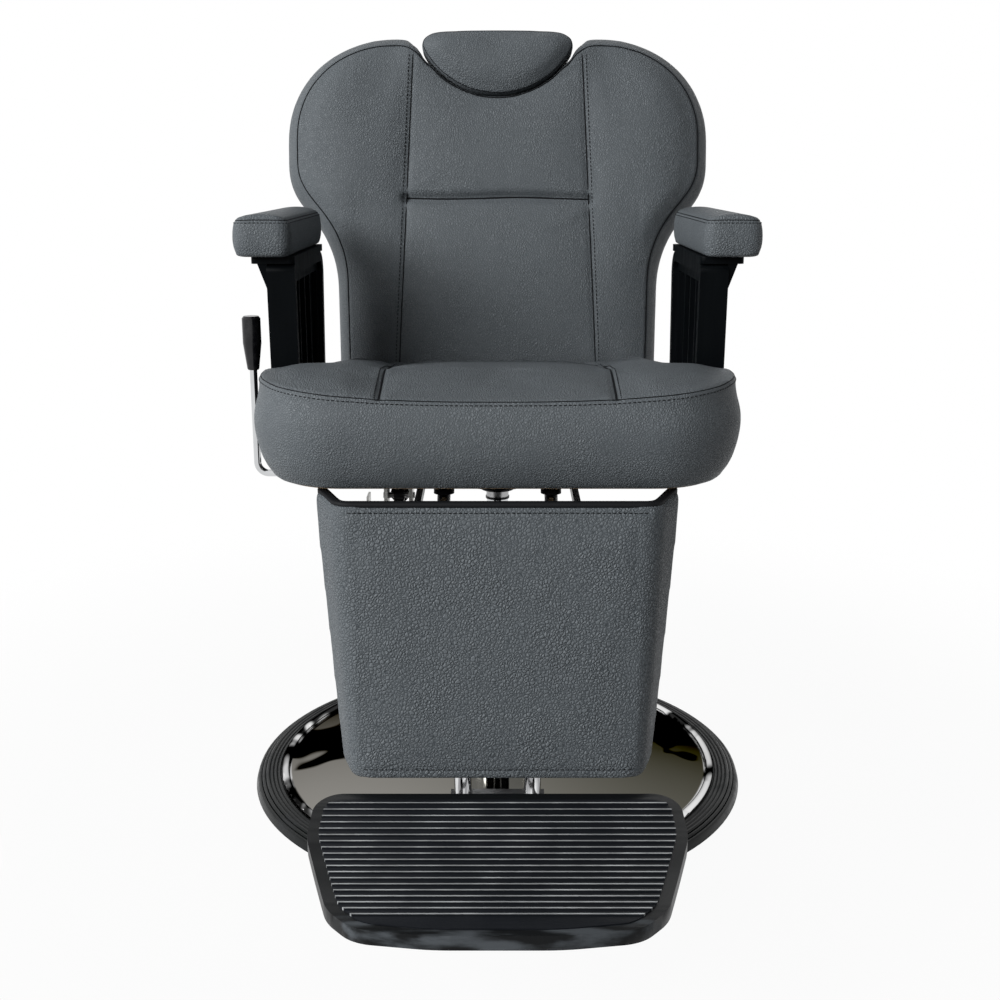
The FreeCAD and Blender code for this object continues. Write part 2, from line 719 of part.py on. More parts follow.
def arm_flare():
    """The arm spreads outwards under the pad and ends in a flange."""
    start, end = ARM_TOP_Z - 34, ARM_TOP_Z
    outer = ARM_INNER_X + ARM_FLANGE_WIDTH
    foot = Part.makePolygon([V(ARM_OUTER_X - 1, ARM_FRONT + 2, start), V(ARM_OUTER_X, ARM_FRONT + 2, start),
                             V(ARM_OUTER_X, ARM_REAR - 8, start), V(ARM_OUTER_X - 1, ARM_REAR - 8, start),
                             V(ARM_OUTER_X - 1, ARM_FRONT + 2, start)])
    head = Part.makePolygon([V(ARM_OUTER_X - 1, ARM_FRONT - 4, end), V(outer - 8, ARM_FRONT - 4, end),
                             V(outer - 8, ARM_REAR - 8, end), V(ARM_OUTER_X - 1, ARM_REAR - 8, end),
                             V(ARM_OUTER_X - 1, ARM_FRONT - 4, end)])
    web = Part.makeLoft([foot, head], True, True)
    corners = [(ARM_INNER_X, ARM_FRONT - 6, 6), (outer, ARM_FRONT - 6, 8),
               (outer, ARM_REAR - 4, 8), (ARM_INNER_X, ARM_REAR - 4, 6)]
    return join([web, plate(corners, end, end + ARM_FLANGE_THICK)])


def arm_pad():
    """Right-hand arm pad: a stuffed cover on a board, with a crowned top."""
    inner = ARM_INNER_X
    corners = [
        (inner, PAD_FRONT, 16),
        (inner + PAD_WIDTH, PAD_FRONT, 16),
        (inner + PAD_WIDTH, PAD_FRONT + PAD_LENGTH, 26),
        (inner, PAD_FRONT + PAD_LENGTH, 26),
    ]
    height = PAD_SEAM_Z - PAD_UNDER_Z
    levels = [
        (PAD_UNDER_Z, 7),
        (PAD_UNDER_Z + height * 0.15, 1.5),
        (PAD_UNDER_Z + height * 0.5, 0),
        (PAD_UNDER_Z + height * 0.85, 1),
        (PAD_SEAM_Z, 4),
        (PAD_SEAM_Z + PAD_CROWN * 0.7, 12),
        (PAD_SEAM_Z + PAD_CROWN, 24),
    ]
    return padded_stack(corners, levels, at_height)


def arm_bolts():
    bolts = []
    for x, y in arm_bolt_places():
        shank = cylinder(BOLT_R - RUN_FIT, V(x, y, FRAME_Z), V(x, y, FRAME_TOP + 24))
        head = cylinder(BOLT_HEAD_R, V(x, y, FRAME_Z - BOLT_HEAD_H), V(x, y, FRAME_Z))
        bolts.append(join([shank, head]))
    return group(bolts)


def drill_arm(arm):
    for x, y in arm_bolt_places():
        arm = arm.cut(cylinder(BOLT_R, V(x, y, FRAME_TOP), V(x, y, FRAME_TOP + 25)))
    return arm


# Recline hinge and leg rest hinge on the seat

def hinge_brackets():
    """Two plates under the deck's rear edge. They hold the recline shaft."""
    corners = [
        (FRAME_REAR - 60, BACK_PIVOT_Z - 12, 6),
        (BACK_PIVOT_Y + 16, BACK_PIVOT_Z - 16, 14),
        (BACK_PIVOT_Y + 16, BACK_PIVOT_Z + 16, 14),
        (FRAME_REAR + 2, FRAME_Z, 3),
        (FRAME_REAR - 60, FRAME_Z, 3),
    ]
    right = side_plate(BRACKET_X, BRACKET_X + BRACKET_THICK, corners)
    lug = box(FRAME_HALF - 2, BRACKET_X + BRACKET_THICK, FRAME_REAR - 60, FRAME_REAR, FRAME_Z, FRAME_TOP)
    lug = lug.cut(box(0, FRAME_HALF, FRAME_FRONT, FRAME_REAR, FRAME_Z, FRAME_TOP))
    right = join([right, lug])
    right = right.cut(cross_pin(SHAFT_R, 0, BRACKET_X + 20, BACK_PIVOT_Y, BACK_PIVOT_Z))
    return group([right, mirror_x(right)])


def recline_shaft():
    half = BRACKET_X + BRACKET_THICK + 3
    return cross_pin(SHAFT_R, -half, half, BACK_PIVOT_Y, BACK_PIVOT_Z)


def strut_blank(radius, low, high):
    """Part of the right strut's leaning line, between two level cuts."""
    slope = (FRAME_FRONT + STRUT_INSET - LEG_PIVOT_Y) / (FRAME_Z - LEG_PIVOT_Z)
    circles = []
    for z in (low, high):
        centre = V(STRUT_X, LEG_PIVOT_Y + (z - LEG_PIVOT_Z) * slope, z)
        circles.append(Part.Wire(Part.makeCircle(radius, centre)))
    return Part.makeLoft(circles, True, True)


def strut_tubes():
    """Chromed struts from the deck's front edge down to the leg rest's shaft."""
    eye = cross_pin(STRUT_R + 4, STRUT_X - STRUT_R, STRUT_X + STRUT_R, LEG_PIVOT_Y, LEG_PIVOT_Z)
    right = join([strut_blank(STRUT_R, LEG_PIVOT_Z, FRAME_Z), eye])
    right = right.cut(cross_pin(SHAFT_R, 0, 2 * STRUT_X, LEG_PIVOT_Y, LEG_PIVOT_Z))
    return group([right, mirror_x(right)])


def strut_sockets():
    """Black sockets that clamp the struts' tops under the deck."""
    low = FRAME_Z - SOCKET_H
    right = strut_blank(SOCKET_R, low, FRAME_Z).cut(strut_blank(STRUT_R, low, FRAME_Z))
    return group([right, mirror_x(right)])


def leg_shaft():
    half = CRANK_X + CRANK_THICK + 2
    return cross_pin(SHAFT_R, -half, half, LEG_PIVOT_Y, LEG_PIVOT_Z)


# Gas spring and release lever

def spring_point(distance, lift=0.0):
    """A point along the gas spring's line from its front pivot."""
    tilt = math.radians(SPRING_TILT)
    y = SPRING_PIVOT_Y + distance * math.cos(tilt) - lift * math.sin(tilt)
    z = SPRING_PIVOT_Z + distance * math.sin(tilt) + lift * math.cos(tilt)
    return V(SPRING_X, y, z)


def lock_brackets():
    """Two plates under the deck. They hold the gas spring and the release lever."""
    plates = []
    for x in LOCK_PLATE_X:
        corners = [
            (SPRING_PIVOT_Y - 16, FRAME_Z - LOCK_DEPTH + 1, 8),
            (SPRING_PIVOT_Y + 16, FRAME_Z - LOCK_DEPTH + 1, 8),
            (LEVER_Y + 24, FRAME_Z, 3),
            (SPRING_PIVOT_Y - 18, FRAME_Z, 3),
        ]
        sheet = side_plate(x - LOCK_PLATE_THICK / 2, x + LOCK_PLATE_THICK / 2, corners)
        sheet = sheet.cut(cross_pin(PIN_R, x - 10, x + 10, SPRING_PIVOT_Y, SPRING_PIVOT_Z))
        sheet = sheet.cut(cross_pin(LEVER_ROD_R + RUN_FIT, x - 10, x + 10, LEVER_Y, LEVER_Z))
        plates.append(sheet)
    return group(plates)


def lock_tray():
    """Bright folded tray that closes the brackets from below and in front."""
    x0, x1 = TRAY_X
    low = FRAME_Z - LOCK_DEPTH - 2
    corners = [
        (x0, low, 9),
        (x1, low, 9),
        (x1, low + 32, 4),
        (x0, low + 32, 4),
    ]
    front, rear = SPRING_PIVOT_Y - 20, SPRING_PIVOT_Y + 10
    in_front = at_depth(front)
    outer = Part.Face(rounded_wire(corners, in_front)).extrude(V(0, rear - front, 0))
    hollow_corners = offset_corners(corners, 3)
    hollow = Part.Face(rounded_wire(hollow_corners, in_front)).extrude(V(0, rear - front, 0))
    tray = outer.cut(hollow)
    tray = tray.cut(box(x0 - 1, x1 + 1, front - 1, rear + 1, low + 24, low + 40))
    for x in LOCK_PLATE_X:
        half = LOCK_PLATE_THICK / 2
        tray = tray.cut(box(x - half, x + half, front - 1, rear + 1, low + 3 - RUN_FIT, low + 40))
    return tray


def spring_pin():
    half = LOCK_PLATE_THICK / 2
    x0, x1 = LOCK_PLATE_X[0] - half - 2, LOCK_PLATE_X[1] + half + 2
    return cross_pin(PIN_R, x0, x1, SPRING_PIVOT_Y, SPRING_PIVOT_Z)


def spring_body():
    """Gas spring cylinder, with an eye in front and an open mouth round the rod."""
    barrel = cylinder(SPRING_BODY_R, spring_point(14), spring_point(14 + SPRING_BODY_LENGTH))
    stem = cylinder(7, spring_point(0), spring_point(16))
    eye = cross_pin(9, SPRING_X - 7, SPRING_X + 7, SPRING_PIVOT_Y, SPRING_PIVOT_Z)
    body = join([barrel, stem, eye])
    body = body.cut(cylinder(SPRING_MOUTH_R, spring_point(24), spring_point(20 + SPRING_BODY_LENGTH)))
    return body.cut(cross_pin(PIN_R + RUN_FIT, SPRING_X - 10, SPRING_X + 10, SPRING_PIVOT_Y, SPRING_PIVOT_Z))


SPRING_END_Y = BACK_PIVOT_Y
SPRING_END_Z = BACK_PIVOT_Z - SPRING_CRANK


def spring_rod():
    """Gas spring rod with the eye that the backrest's crank carries."""
    tilt = math.radians(SPRING_TILT)
    end = V(SPRING_X, SPRING_END_Y, SPRING_END_Z)
    start = end - V(0, math.cos(tilt), math.sin(tilt)) * SPRING_ROD_LENGTH
    eye = cross_pin(8.5, SPRING_X - 6, SPRING_X + 6, SPRING_END_Y, SPRING_END_Z)
    rod = join([cylinder(SPRING_ROD_R, start, end), eye])
    return rod.cut(cross_pin(PIN_R + RUN_FIT, SPRING_X - 8, SPRING_X + 8, SPRING_END_Y, SPRING_END_Z))


def lever_rod():
    """Chromed release rod: across under the seat, then up beside it."""
    inner_x = LOCK_PLATE_X[1] + LOCK_PLATE_THICK / 2 + 6
    bend = LEVER_BEND_R
    across_end = V(LEVER_X + bend, LEVER_Y, LEVER_Z)
    rise_start = V(LEVER_X, LEVER_Y, LEVER_Z + bend)
    diagonal = bend * (1 - math.sqrt(0.5))
    middle = V(LEVER_X + diagonal, LEVER_Y, LEVER_Z + diagonal)
    path = Part.Wire([
        Part.LineSegment(V(inner_x, LEVER_Y, LEVER_Z), across_end).toShape(),
        Part.Arc(across_end, middle, rise_start).toShape(),
        Part.LineSegment(rise_start, V(LEVER_X, LEVER_Y, LEVER_TOP_Z - GRIP_LENGTH + 30)).toShape(),
    ])
    section = Part.Wire(Part.makeCircle(LEVER_ROD_R, V(inner_x, LEVER_Y, LEVER_Z), V(1, 0, 0)))
    return path.makePipeShell([section], True, False)


def lever_grip():
    """Black moulded grip, tapered towards the rod."""
    low = LEVER_TOP_Z - GRIP_LENGTH
    profile = [
        (0, low), (GRIP_NECK_R - 1, low), (GRIP_NECK_R, low + 1.5), (GRIP_R, low + GRIP_LENGTH * 0.5),
        (GRIP_R, LEVER_TOP_Z - 3), (GRIP_R - 2.5, LEVER_TOP_Z), (0, LEVER_TOP_Z),
    ]
    grip = spin(profile)
    grip.translate(V(LEVER_X, LEVER_Y, 0))
    bore_top = V(LEVER_X, LEVER_Y, low + 30)
    return grip.cut(cylinder(LEVER_ROD_R, V(LEVER_X, LEVER_Y, low - 1), bore_top))


def release_cam():
    """Cam on the release rod, over the gas spring's valve end."""
    cam = link_plate(SPRING_X - 8, SPRING_X + 8, (LEVER_Y, LEVER_Z), (LEVER_Y - 22, LEVER_Z - 6), 15)
    return cam.cut(cross_pin(LEVER_ROD_R, SPRING_X - 10, SPRING_X + 10, LEVER_Y, LEVER_Z))


# Backrest

def back_corners():
    return mirrored_corners([
        (BACK_WAIST_HALF, 0, 22),
        (BACK_WAIST_HALF, BACK_WAIST_Z, BACK_WAIST_R),
        (BACK_HALF, BACK_WING_Z, BACK_WING_R),
        (BACK_HALF, BACK_HEIGHT, BACK_SHOULDER_R),
    ])


def back_crown(depth):
    """Everything behind the backrest's front, which is crowned from side to side."""
    half = BACK_HALF + 30
    rear = CUSHION_DEPTH + 60
    low = -40
    ends = BACK_CROWN + depth
    arc = Part.Arc(V(-half, ends, low), V(0, depth - 6, low), V(half, ends, low))
    edges = [
        arc.toShape(),
        Part.LineSegment(V(half, ends, low), V(half, rear, low)).toShape(),
        Part.LineSegment(V(half, rear, low), V(-half, rear, low)).toShape(),
        Part.LineSegment(V(-half, rear, low), V(-half, ends, low)).toShape(),
    ]
    return Part.Face(Part.Wire(edges)).extrude(V(0, 0, BACK_HEIGHT + 80))


NOTCH_CENTRE_Z = BACK_HEIGHT - NOTCH_DEPTH + NOTCH_R


def notch(radius):
    return cylinder(radius, V(0, HEAD_FRONT - 60, NOTCH_CENTRE_Z), V(0, CUSHION_DEPTH + 60, NOTCH_CENTRE_Z))


def back_cushion():
    """Stuffed back with wings above the arms, a notch for the headrest and sewn seams."""
    levels = [
        (CUSHION_DEPTH, 7),
        (CUSHION_DEPTH - 12, 1),
        (CUSHION_DEPTH * 0.55, 0),
        (CUSHION_DEPTH * 0.28, 3),
        (CUSHION_DEPTH * 0.1, 12),
        (-3, 21),
        (-12, 27),
    ]
    body = padded_stack(back_corners(), levels, at_depth)
    body = body.common(back_crown(0))
    body = body.cut(notch(NOTCH_R))
    inner = back_crown(SEAM_DEPTH)
    foot_x, top_x = BACK_CHANNEL_X
    half = SEAM_WIDTH / 2
    for side in (-1, 1):
        lean = math.degrees(math.atan2(side * (foot_x - top_x), BACK_HEIGHT))
        slab = box(-half, half, -20, 40, -5, BACK_HEIGHT + 10)
        slab.rotate(V(0, 0, 0), V(0, 1, 0), -lean)
        slab.translate(V(side * foot_x, 0, 0))
        body = body.cut(slab.cut(inner))
    reach = (foot_x + top_x) / 2
    cross = box(-reach, reach, -20, 40, BACK_SEAM_Z - half, BACK_SEAM_Z + half)
    body = body.cut(cross.cut(inner))
    return lean_back(body)


def back_board():
    """Plywood board behind the stuffing."""
    corners = offset_corners(back_corners(), 10)
    start, end = CUSHION_DEPTH, CUSHION_DEPTH + BACK_BOARD_THICK
    board = flat_stack(corners, [(start, 0), (end, 0)], at_depth)
    board = board.cut(notch(NOTCH_R + 6))
    for side in (-1, 1):
        slot = box(side * POST_X - GUIDE_R, side * POST_X + GUIDE_R, start - 1, end + 1,
                   post_top() - POST_LENGTH - 4, BACK_HEIGHT)
        board = board.cut(slot)
    return lean_back(board)


def back_shell():
    """Upholstered rear panel, clipped over the board."""
    start = CUSHION_DEPTH + BACK_BOARD_THICK
    end = start + BACK_SHELL_THICK
    corners = offset_corners(back_corners(), 5)
    shell = padded_stack(corners, [(start, 0), (start + 6, 1.5), (end - 2, 10), (end, 20)], at_depth)
    shell = shell.cut(notch(NOTCH_R + 2))
    hollow_corners = offset_corners(back_corners(), 22)
    hollow = flat_stack(hollow_corners, [(start - 1, 0), (end - 3, 0)], at_depth)
    hollow = hollow.cut(notch(NOTCH_R + 14))
    shell = shell.cut(hollow)
    for side in (-1, 1):
        x = side * (HINGE_ARM_X + HINGE_ARM_WIDTH / 2)
        half = HINGE_ARM_WIDTH / 2 + 2
        shell = shell.cut(box(x - half, x + half, start - 1, end - 4, -5, 30))
    return lean_back(shell)


def guide_foot():
    return BACK_HEIGHT - NOTCH_DEPTH - 12 - GUIDE_LENGTH


def post_depth():
    return CUSHION_DEPTH + BACK_BOARD_THICK / 2


def post_top():
    return BACK_HEIGHT - NOTCH_DEPTH * 0.55 + 12


def headrest_guides():
    """Two guide tubes let into the board for the headrest's posts."""
    tubes = []
    for side in (-1, 1):
        start = V(side * POST_X, post_depth(), guide_foot())
        end = V(side * POST_X, post_depth(), guide_foot() + GUIDE_LENGTH)
        guide = tube(GUIDE_R, POST_R + RUN_FIT, start, end)
        slab = box(side * POST_X - 20, side * POST_X + 20, CUSHION_DEPTH, CUSHION_DEPTH + 40,
                   guide_foot(), guide_foot() + GUIDE_LENGTH)
        tubes.append(guide.common(slab))
    return lean_back(group(tubes))


def back_frame():
    """Welded recline frame: a tube on the shaft, two arms up the board, and the cranks."""
    half = BRACKET_X - SLIDE_GAP
    parts = [cross_pin(TORQUE_TUBE_R, -half, half, BACK_PIVOT_Y, BACK_PIVOT_Z)]
    lean = math.radians(BACK_LEAN)
    depth = CUSHION_DEPTH + BACK_BOARD_THICK
    foot_y = BACK_FOOT_Y + (depth + 4) * math.cos(lean)
    foot_z = BACK_FOOT_Z - (depth + 4) * math.sin(lean)
    for side in (-1, 1):
        x0 = side * (HINGE_ARM_X + HINGE_ARM_WIDTH / 2) - HINGE_ARM_WIDTH / 2
        x1 = x0 + HINGE_ARM_WIDTH
        upper = box(x0, x1, depth, depth + 8, -12, 190)
        parts.append(lean_back(upper))
        parts.append(link_plate(x0, x1, (BACK_PIVOT_Y, BACK_PIVOT_Z), (foot_y, foot_z), 8))
        crank_x = side * (CRANK_X + CRANK_THICK / 2) - CRANK_THICK / 2
        pin_z = BACK_PIVOT_Z + CRANK
        parts.append(link_plate(crank_x, crank_x + CRANK_THICK, (BACK_PIVOT_Y, BACK_PIVOT_Z),
                                (BACK_PIVOT_Y, pin_z), 17))
    for side in (-1, 1):
        x0 = SPRING_X + side * 9.5 - 2.5
        parts.append(link_plate(x0, x0 + 5, (BACK_PIVOT_Y, BACK_PIVOT_Z),
                                (SPRING_END_Y, SPRING_END_Z), 17))
    frame = join(parts)
    frame = frame.cut(cross_pin(SHAFT_R + RUN_FIT, -half - 1, half + 1, BACK_PIVOT_Y, BACK_PIVOT_Z))
    frame = frame.cut(cross_pin(PIN_R, SPRING_X - 14, SPRING_X + 14, SPRING_END_Y, SPRING_END_Z))
    for side in (-1, 1):
        x = side * CRANK_X
        frame = frame.cut(cross_pin(PIN_R, x - 12, x + 12, BACK_PIVOT_Y, BACK_PIVOT_Z + CRANK))
    return frame


def rod_x(side):
    """Where a coupling rod lies, outside its crank."""
    inner = CRANK_X + CRANK_THICK + SLIDE_GAP
    return (inner, inner + ROD_THICK) if side > 0 else (-inner - ROD_THICK, -inner)


def crank_pins(y, z):
    pins = []
    for side in (-1, 1):
        x0, x1 = rod_x(side)
        inner = side * CRANK_X
        outer = x1 + 2 if side > 0 else x0 - 2
        pins.append(cross_pin(PIN_R, min(inner, outer), max(inner, outer), y, z))
    return pins


def back_pins():
    spring_pin = cross_pin(PIN_R, SPRING_X - 14, SPRING_X + 14, SPRING_END_Y, SPRING_END_Z)
    return group(crank_pins(BACK_PIVOT_Y, BACK_PIVOT_Z + CRANK) + [spring_pin])


def coupling_rods():
    """Two flat rods that make the leg rest rise as the back goes down."""
    rods = []
    front = (LEG_PIVOT_Y, LEG_PIVOT_Z + CRANK)
    rear = (BACK_PIVOT_Y, BACK_PIVOT_Z + CRANK)
    for side in (-1, 1):
        x0, x1 = rod_x(side)
        rod = link_plate(x0, x1, front, rear, ROD_DEPTH)
        for point in (front, rear):
            rod = rod.cut(cross_pin(PIN_R + RUN_FIT, x0 - 1, x1 + 1, *point))
        rods.append(rod)
    return group(rods)


# Headrest

def head_wire(inset, depth):
    """Half-moon outline: a round underside, two soft tips and a nearly flat top."""
    radius = NOTCH_R - HEAD_GAP - inset
    tip = math.radians(HEAD_TIP_ANGLE)
    tip_x, tip_z = radius * math.sin(tip), NOTCH_CENTRE_Z - radius * math.cos(tip)
    low_z = NOTCH_CENTRE_Z - radius
    top_z = BACK_HEIGHT + HEAD_RISE - inset
    top_x = tip_x * 0.74
    bend_x, bend_z = tip_x - 7, tip_z + (top_z - tip_z) * 0.68
    place = at_depth(depth)
    return Part.Wire([
        Part.Arc(place(-tip_x, tip_z), place(0, low_z), place(tip_x, tip_z)).toShape(),
        Part.Arc(place(tip_x, tip_z), place(bend_x, bend_z), place(top_x, top_z)).toShape(),
        Part.LineSegment(place(top_x, top_z), place(-top_x, top_z)).toShape(),
        Part.Arc(place(-top_x, top_z), place(-bend_x, bend_z), place(-tip_x, tip_z)).toShape(),
    ])


def head_cushion():
    rear = HEAD_FRONT + HEAD_THICK
    levels = [
        (rear, 6),
        (rear - 8, 1),
        (rear - 26, 0),
        (HEAD_FRONT + 12, 2),
        (HEAD_FRONT + 4, 8),
        (HEAD_FRONT, 18),
    ]
    wires = [head_wire(inset, depth) for depth, inset in levels]
    return lean_back(Part.makeLoft(wires, True, False))


def head_plate():
    """Steel plate behind the head cushion, with a foot for each post."""
    rear = HEAD_FRONT + HEAD_THICK
    low = post_top() - 12
    strap = box(-POST_X - 12, POST_X + 12, rear, rear + 5, low, low + 34)
    parts = [strap]
    for side in (-1, 1):
        x = side * POST_X
        parts.append(box(x - 8, x + 8, rear, post_depth() + 8, low, low + 16))
    solid = join(parts)
    for side in (-1, 1):
        x = side * POST_X
        solid = solid.cut(cylinder(POST_R, V(x, post_depth(), low - 1), V(x, post_depth(), low + 12)))
    return lean_back(solid)


def head_posts():
    posts = []
    for side in (-1, 1):
        foot = V(side * POST_X, post_depth(), post_top() - POST_LENGTH)
        posts.append(cylinder(POST_R, foot, V(side * POST_X, post_depth(), post_top())))
    return lean_back(group(posts))


# Leg rest. Its level sections step forward as they go down.

def at_leg_height(z):
    y = LEG_FRONT_Y - (LEG_TOP_Z - z) * math.tan(math.radians(LEG_LEAN))
    return lambda u, v: V(u, v + y, z)


def leg_section(share, start, thick, inset):
    """The leg rest's plan at a share of its height: a flat front with two swept wings."""
    front = LEG_FOOT_HALF[0] + (LEG_TOP_HALF[0] - LEG_FOOT_HALF[0]) * share
    wing = LEG_FOOT_HALF[1] + (LEG_TOP_HALF[1] - LEG_FOOT_HALF[1]) * share
    sweep = math.atan2(wing - front, LEG_WING_DEPTH)
    slope = math.tan(sweep)
    corner = math.tan(math.radians(45) - sweep / 2)
    out_front = front - start * corner
    in_front = front - (start + thick) * corner
    end = LEG_WING_DEPTH
    right = [
        (out_front, start, LEG_FOLD_R - start),
        (out_front + (end - start) * slope, end, min(5.0, thick / 2 - 0.6)),
        (in_front + (end - start - thick) * slope, end, min(5.0, thick / 2 - 0.6)),
        (in_front, start + thick, max(LEG_FOLD_R - start - thick, 3)),
    ]
    return offset_corners(mirrored_corners(right), inset)


def leg_loft(start, thick, round_off, margin):
    levels = [
        (margin, round_off),
        (margin + round_off * 0.35, round_off * 0.35),
        (margin + round_off, 0),
        (LEG_HEIGHT - margin - round_off, 0),
        (LEG_HEIGHT - margin - round_off * 0.35, round_off * 0.35),
        (LEG_HEIGHT - margin, round_off),
    ]
    wires = []
    for height, inset in levels:
        corners = leg_section(height / LEG_HEIGHT, start, thick, inset)
        wires.append(rounded_wire(corners, at_leg_height(LEG_TOP_Z - LEG_HEIGHT + height)))
    return Part.makeLoft(wires, True, True)


def leg_pad():
    return leg_loft(0, LEG_PAD_THICK, LEG_PAD_ROUND, 0)


def leg_board():
    """Bent plywood behind the leg pad."""
    return leg_loft(LEG_PAD_THICK + RUN_FIT, LEG_BOARD_THICK - RUN_FIT, 0.8, LEG_PAD_ROUND)


def leg_back_y(z):
    """The rear face of the leg board at a height above the floor."""
    thick = LEG_PAD_THICK + LEG_BOARD_THICK
    return LEG_FRONT_Y + thick - (LEG_TOP_Z - z) * math.tan(math.radians(LEG_LEAN))


def leg_yoke():
    """Steel yoke behind the leg board: a plate with lugs on the shaft and two cranks."""
    low, high = LEG_PIVOT_Z - 62, LEG_PIVOT_Z - 14
    half = CRANK_X + CRANK_THICK
    wire = Part.makePolygon([
        V(-half, leg_back_y(low), low), V(-half, leg_back_y(low) + 4, low),
        V(-half, leg_back_y(high) + 4, high), V(-half, leg_back_y(high), high),
        V(-half, leg_back_y(low), low),
    ])
    parts = [Part.Face(wire).extrude(V(2 * half, 0, 0))]
    inner_lug = STRUT_X - STRUT_R - SLIDE_GAP - CRANK_THICK
    for side in (-1, 1):
        for x in (inner_lug, CRANK_X):
            x0 = min(side * x, side * (x + CRANK_THICK))
            foot = (leg_back_y(low + 12) + 9, low + 12)
            parts.append(link_plate(x0, x0 + CRANK_THICK, foot, (LEG_PIVOT_Y, LEG_PIVOT_Z), 20))
        x0 = min(side * CRANK_X, side * (CRANK_X + CRANK_THICK))
        parts.append(link_plate(x0, x0 + CRANK_THICK, (LEG_PIVOT_Y, LEG_PIVOT_Z),
                                (LEG_PIVOT_Y, LEG_PIVOT_Z + CRANK), 17))
    yoke = join(parts)
    behind = leg_loft(0, LEG_PAD_THICK + LEG_BOARD_THICK, 0.8, 0)
    yoke = yoke.cut(behind)
    yoke = yoke.cut(cross_pin(SHAFT_R + RUN_FIT, -half - 5, half + 5, LEG_PIVOT_Y, LEG_PIVOT_Z))
    for side in (-1, 1):
        x = side * CRANK_X
        yoke = yoke.cut(cross_pin(PIN_R, x - 12, x + 12, LEG_PIVOT_Y, LEG_PIVOT_Z + CRANK))
    return yoke


def leg_pins():
    return group(crank_pins(LEG_PIVOT_Y, LEG_PIVOT_Z + CRANK))


def leg_tube_points(side):
    top = V(side * TUBE_TOP_X, leg_back_y(TUBE_TOP_Z) + TUBE_R + 6, TUBE_TOP_Z)
    foot = V(side * TUBE_FOOT_X, leg_back_y(TUBE_FOOT_Z) + TUBE_R + 6, TUBE_FOOT_Z)
    return top, foot


def leg_tubes():
    """Two chromed tubes behind the leg rest, down to the footrest."""
    tubes = []
    for side in (-1, 1):
        top, foot = leg_tube_points(side)
        tubes.append(tube(TUBE_R, TUBE_R - 2, top, foot))
    return group(tubes)


def leg_clamps():
    """Saddles that fix the tubes to the leg board."""
    saddles = []
    span = TUBE_TOP_Z - TUBE_FOOT_Z
    for z in (TUBE_TOP_Z - span * 0.24, TUBE_FOOT_Z + span * 0.31):
        y = leg_back_y(z)
        saddle = box(-TUBE_TOP_X - 22, TUBE_TOP_X + 22, y - 10, y + 6 + TUBE_R, z - 9, z + 9)
        saddles.append(saddle)
    solids = []
    behind = leg_loft(0, LEG_PAD_THICK + LEG_BOARD_THICK, 0.8, 0)
    for saddle in saddles:
        saddle = saddle.cut(behind)
        for side in (-1, 1):
            top, foot = leg_tube_points(side)
            saddle = saddle.cut(cylinder(TUBE_R, top, foot))
        solids.append(saddle)
    return group(solids)


def foot_bracket():
    """Cross piece on the tubes' feet, with two lugs for the footrest's pin."""
    top, foot = leg_tube_points(1)
    half = TUBE_FOOT_X + TUBE_R + 5
    bar = box(-half, half, foot.y - TUBE_R - 5, foot.y + TUBE_R + 3, TUBE_FOOT_Z - 6, TUBE_FOOT_Z + 12)
    parts = [bar]
    for x in (-half, half - 8):
        parts.append(link_plate(x, x + 8, (foot.y - 4, TUBE_FOOT_Z + 3), (FOOT_PIVOT_Y, FOOT_PIVOT_Z), 16))
    bracket = join(parts)
    for side in (-1, 1):
        start, end = leg_tube_points(side)
        bracket = bracket.cut(cylinder(TUBE_R, start, end))
    return bracket.cut(cross_pin(PIN_R, -half - 5, half + 5, FOOT_PIVOT_Y, FOOT_PIVOT_Z))


def foot_pin():
    half = TUBE_FOOT_X + TUBE_R + 18
    return cross_pin(PIN_R, -half, half, FOOT_PIVOT_Y, FOOT_PIVOT_Z)


# Footrest

def foot_corners():
    return mirrored_corners([
        (FOOT_NOSE_HALF * 0.37, FOOT_FRONT, 220),
        (FOOT_NOSE_HALF * 0.83, FOOT_FRONT + 14, 50),
        (FOOT_NOSE_HALF + 2, FOOT_FRONT + 55, 80),
        (FOOT_HALF, FOOT_WIDEST_Y, 120),
        (FOOT_REAR_HALF + 8, FOOT_REAR, 34),
    ])


FOOT_BLANK_Z = (FOOT_DISH_Z - 4 * FOOT_THICK, FOOT_REAR_Z + 3 * FOOT_THICK)


def foot_top_z(y):
    """Height of the tread, which dips in the middle like a shallow dish."""
    share = (FOOT_REAR - y) / (FOOT_REAR - FOOT_FRONT)
    line = FOOT_REAR_Z + (FOOT_FRONT_Z - FOOT_REAR_Z) * share
    sag = (FOOT_REAR_Z + FOOT_FRONT_Z) / 2 - FOOT_DISH_Z
    return line - 4 * sag * share * (1 - share)


def foot_profile(lift, thick, reach):
    """The dished sheet from rear to front, as wide as the whole footrest."""
    rear, front = FOOT_REAR + reach, FOOT_FRONT - reach
    middle = (rear + front) / 2
    x = -FOOT_HALF - 10
    above = [V(x, y, foot_top_z(y) + lift) for y in (rear, middle, front)]
    below = [point - V(0, 0, thick) for point in above]
    edges = [
        Part.Arc(above[0], above[1], above[2]).toShape(),
        Part.LineSegment(above[2], below[2]).toShape(),
        Part.Arc(below[2], below[1], below[0]).toShape(),
        Part.LineSegment(below[0], above[0]).toShape(),
    ]
    return Part.Face(Part.Wire(edges)).extrude(V(2 * FOOT_HALF + 20, 0, 0))


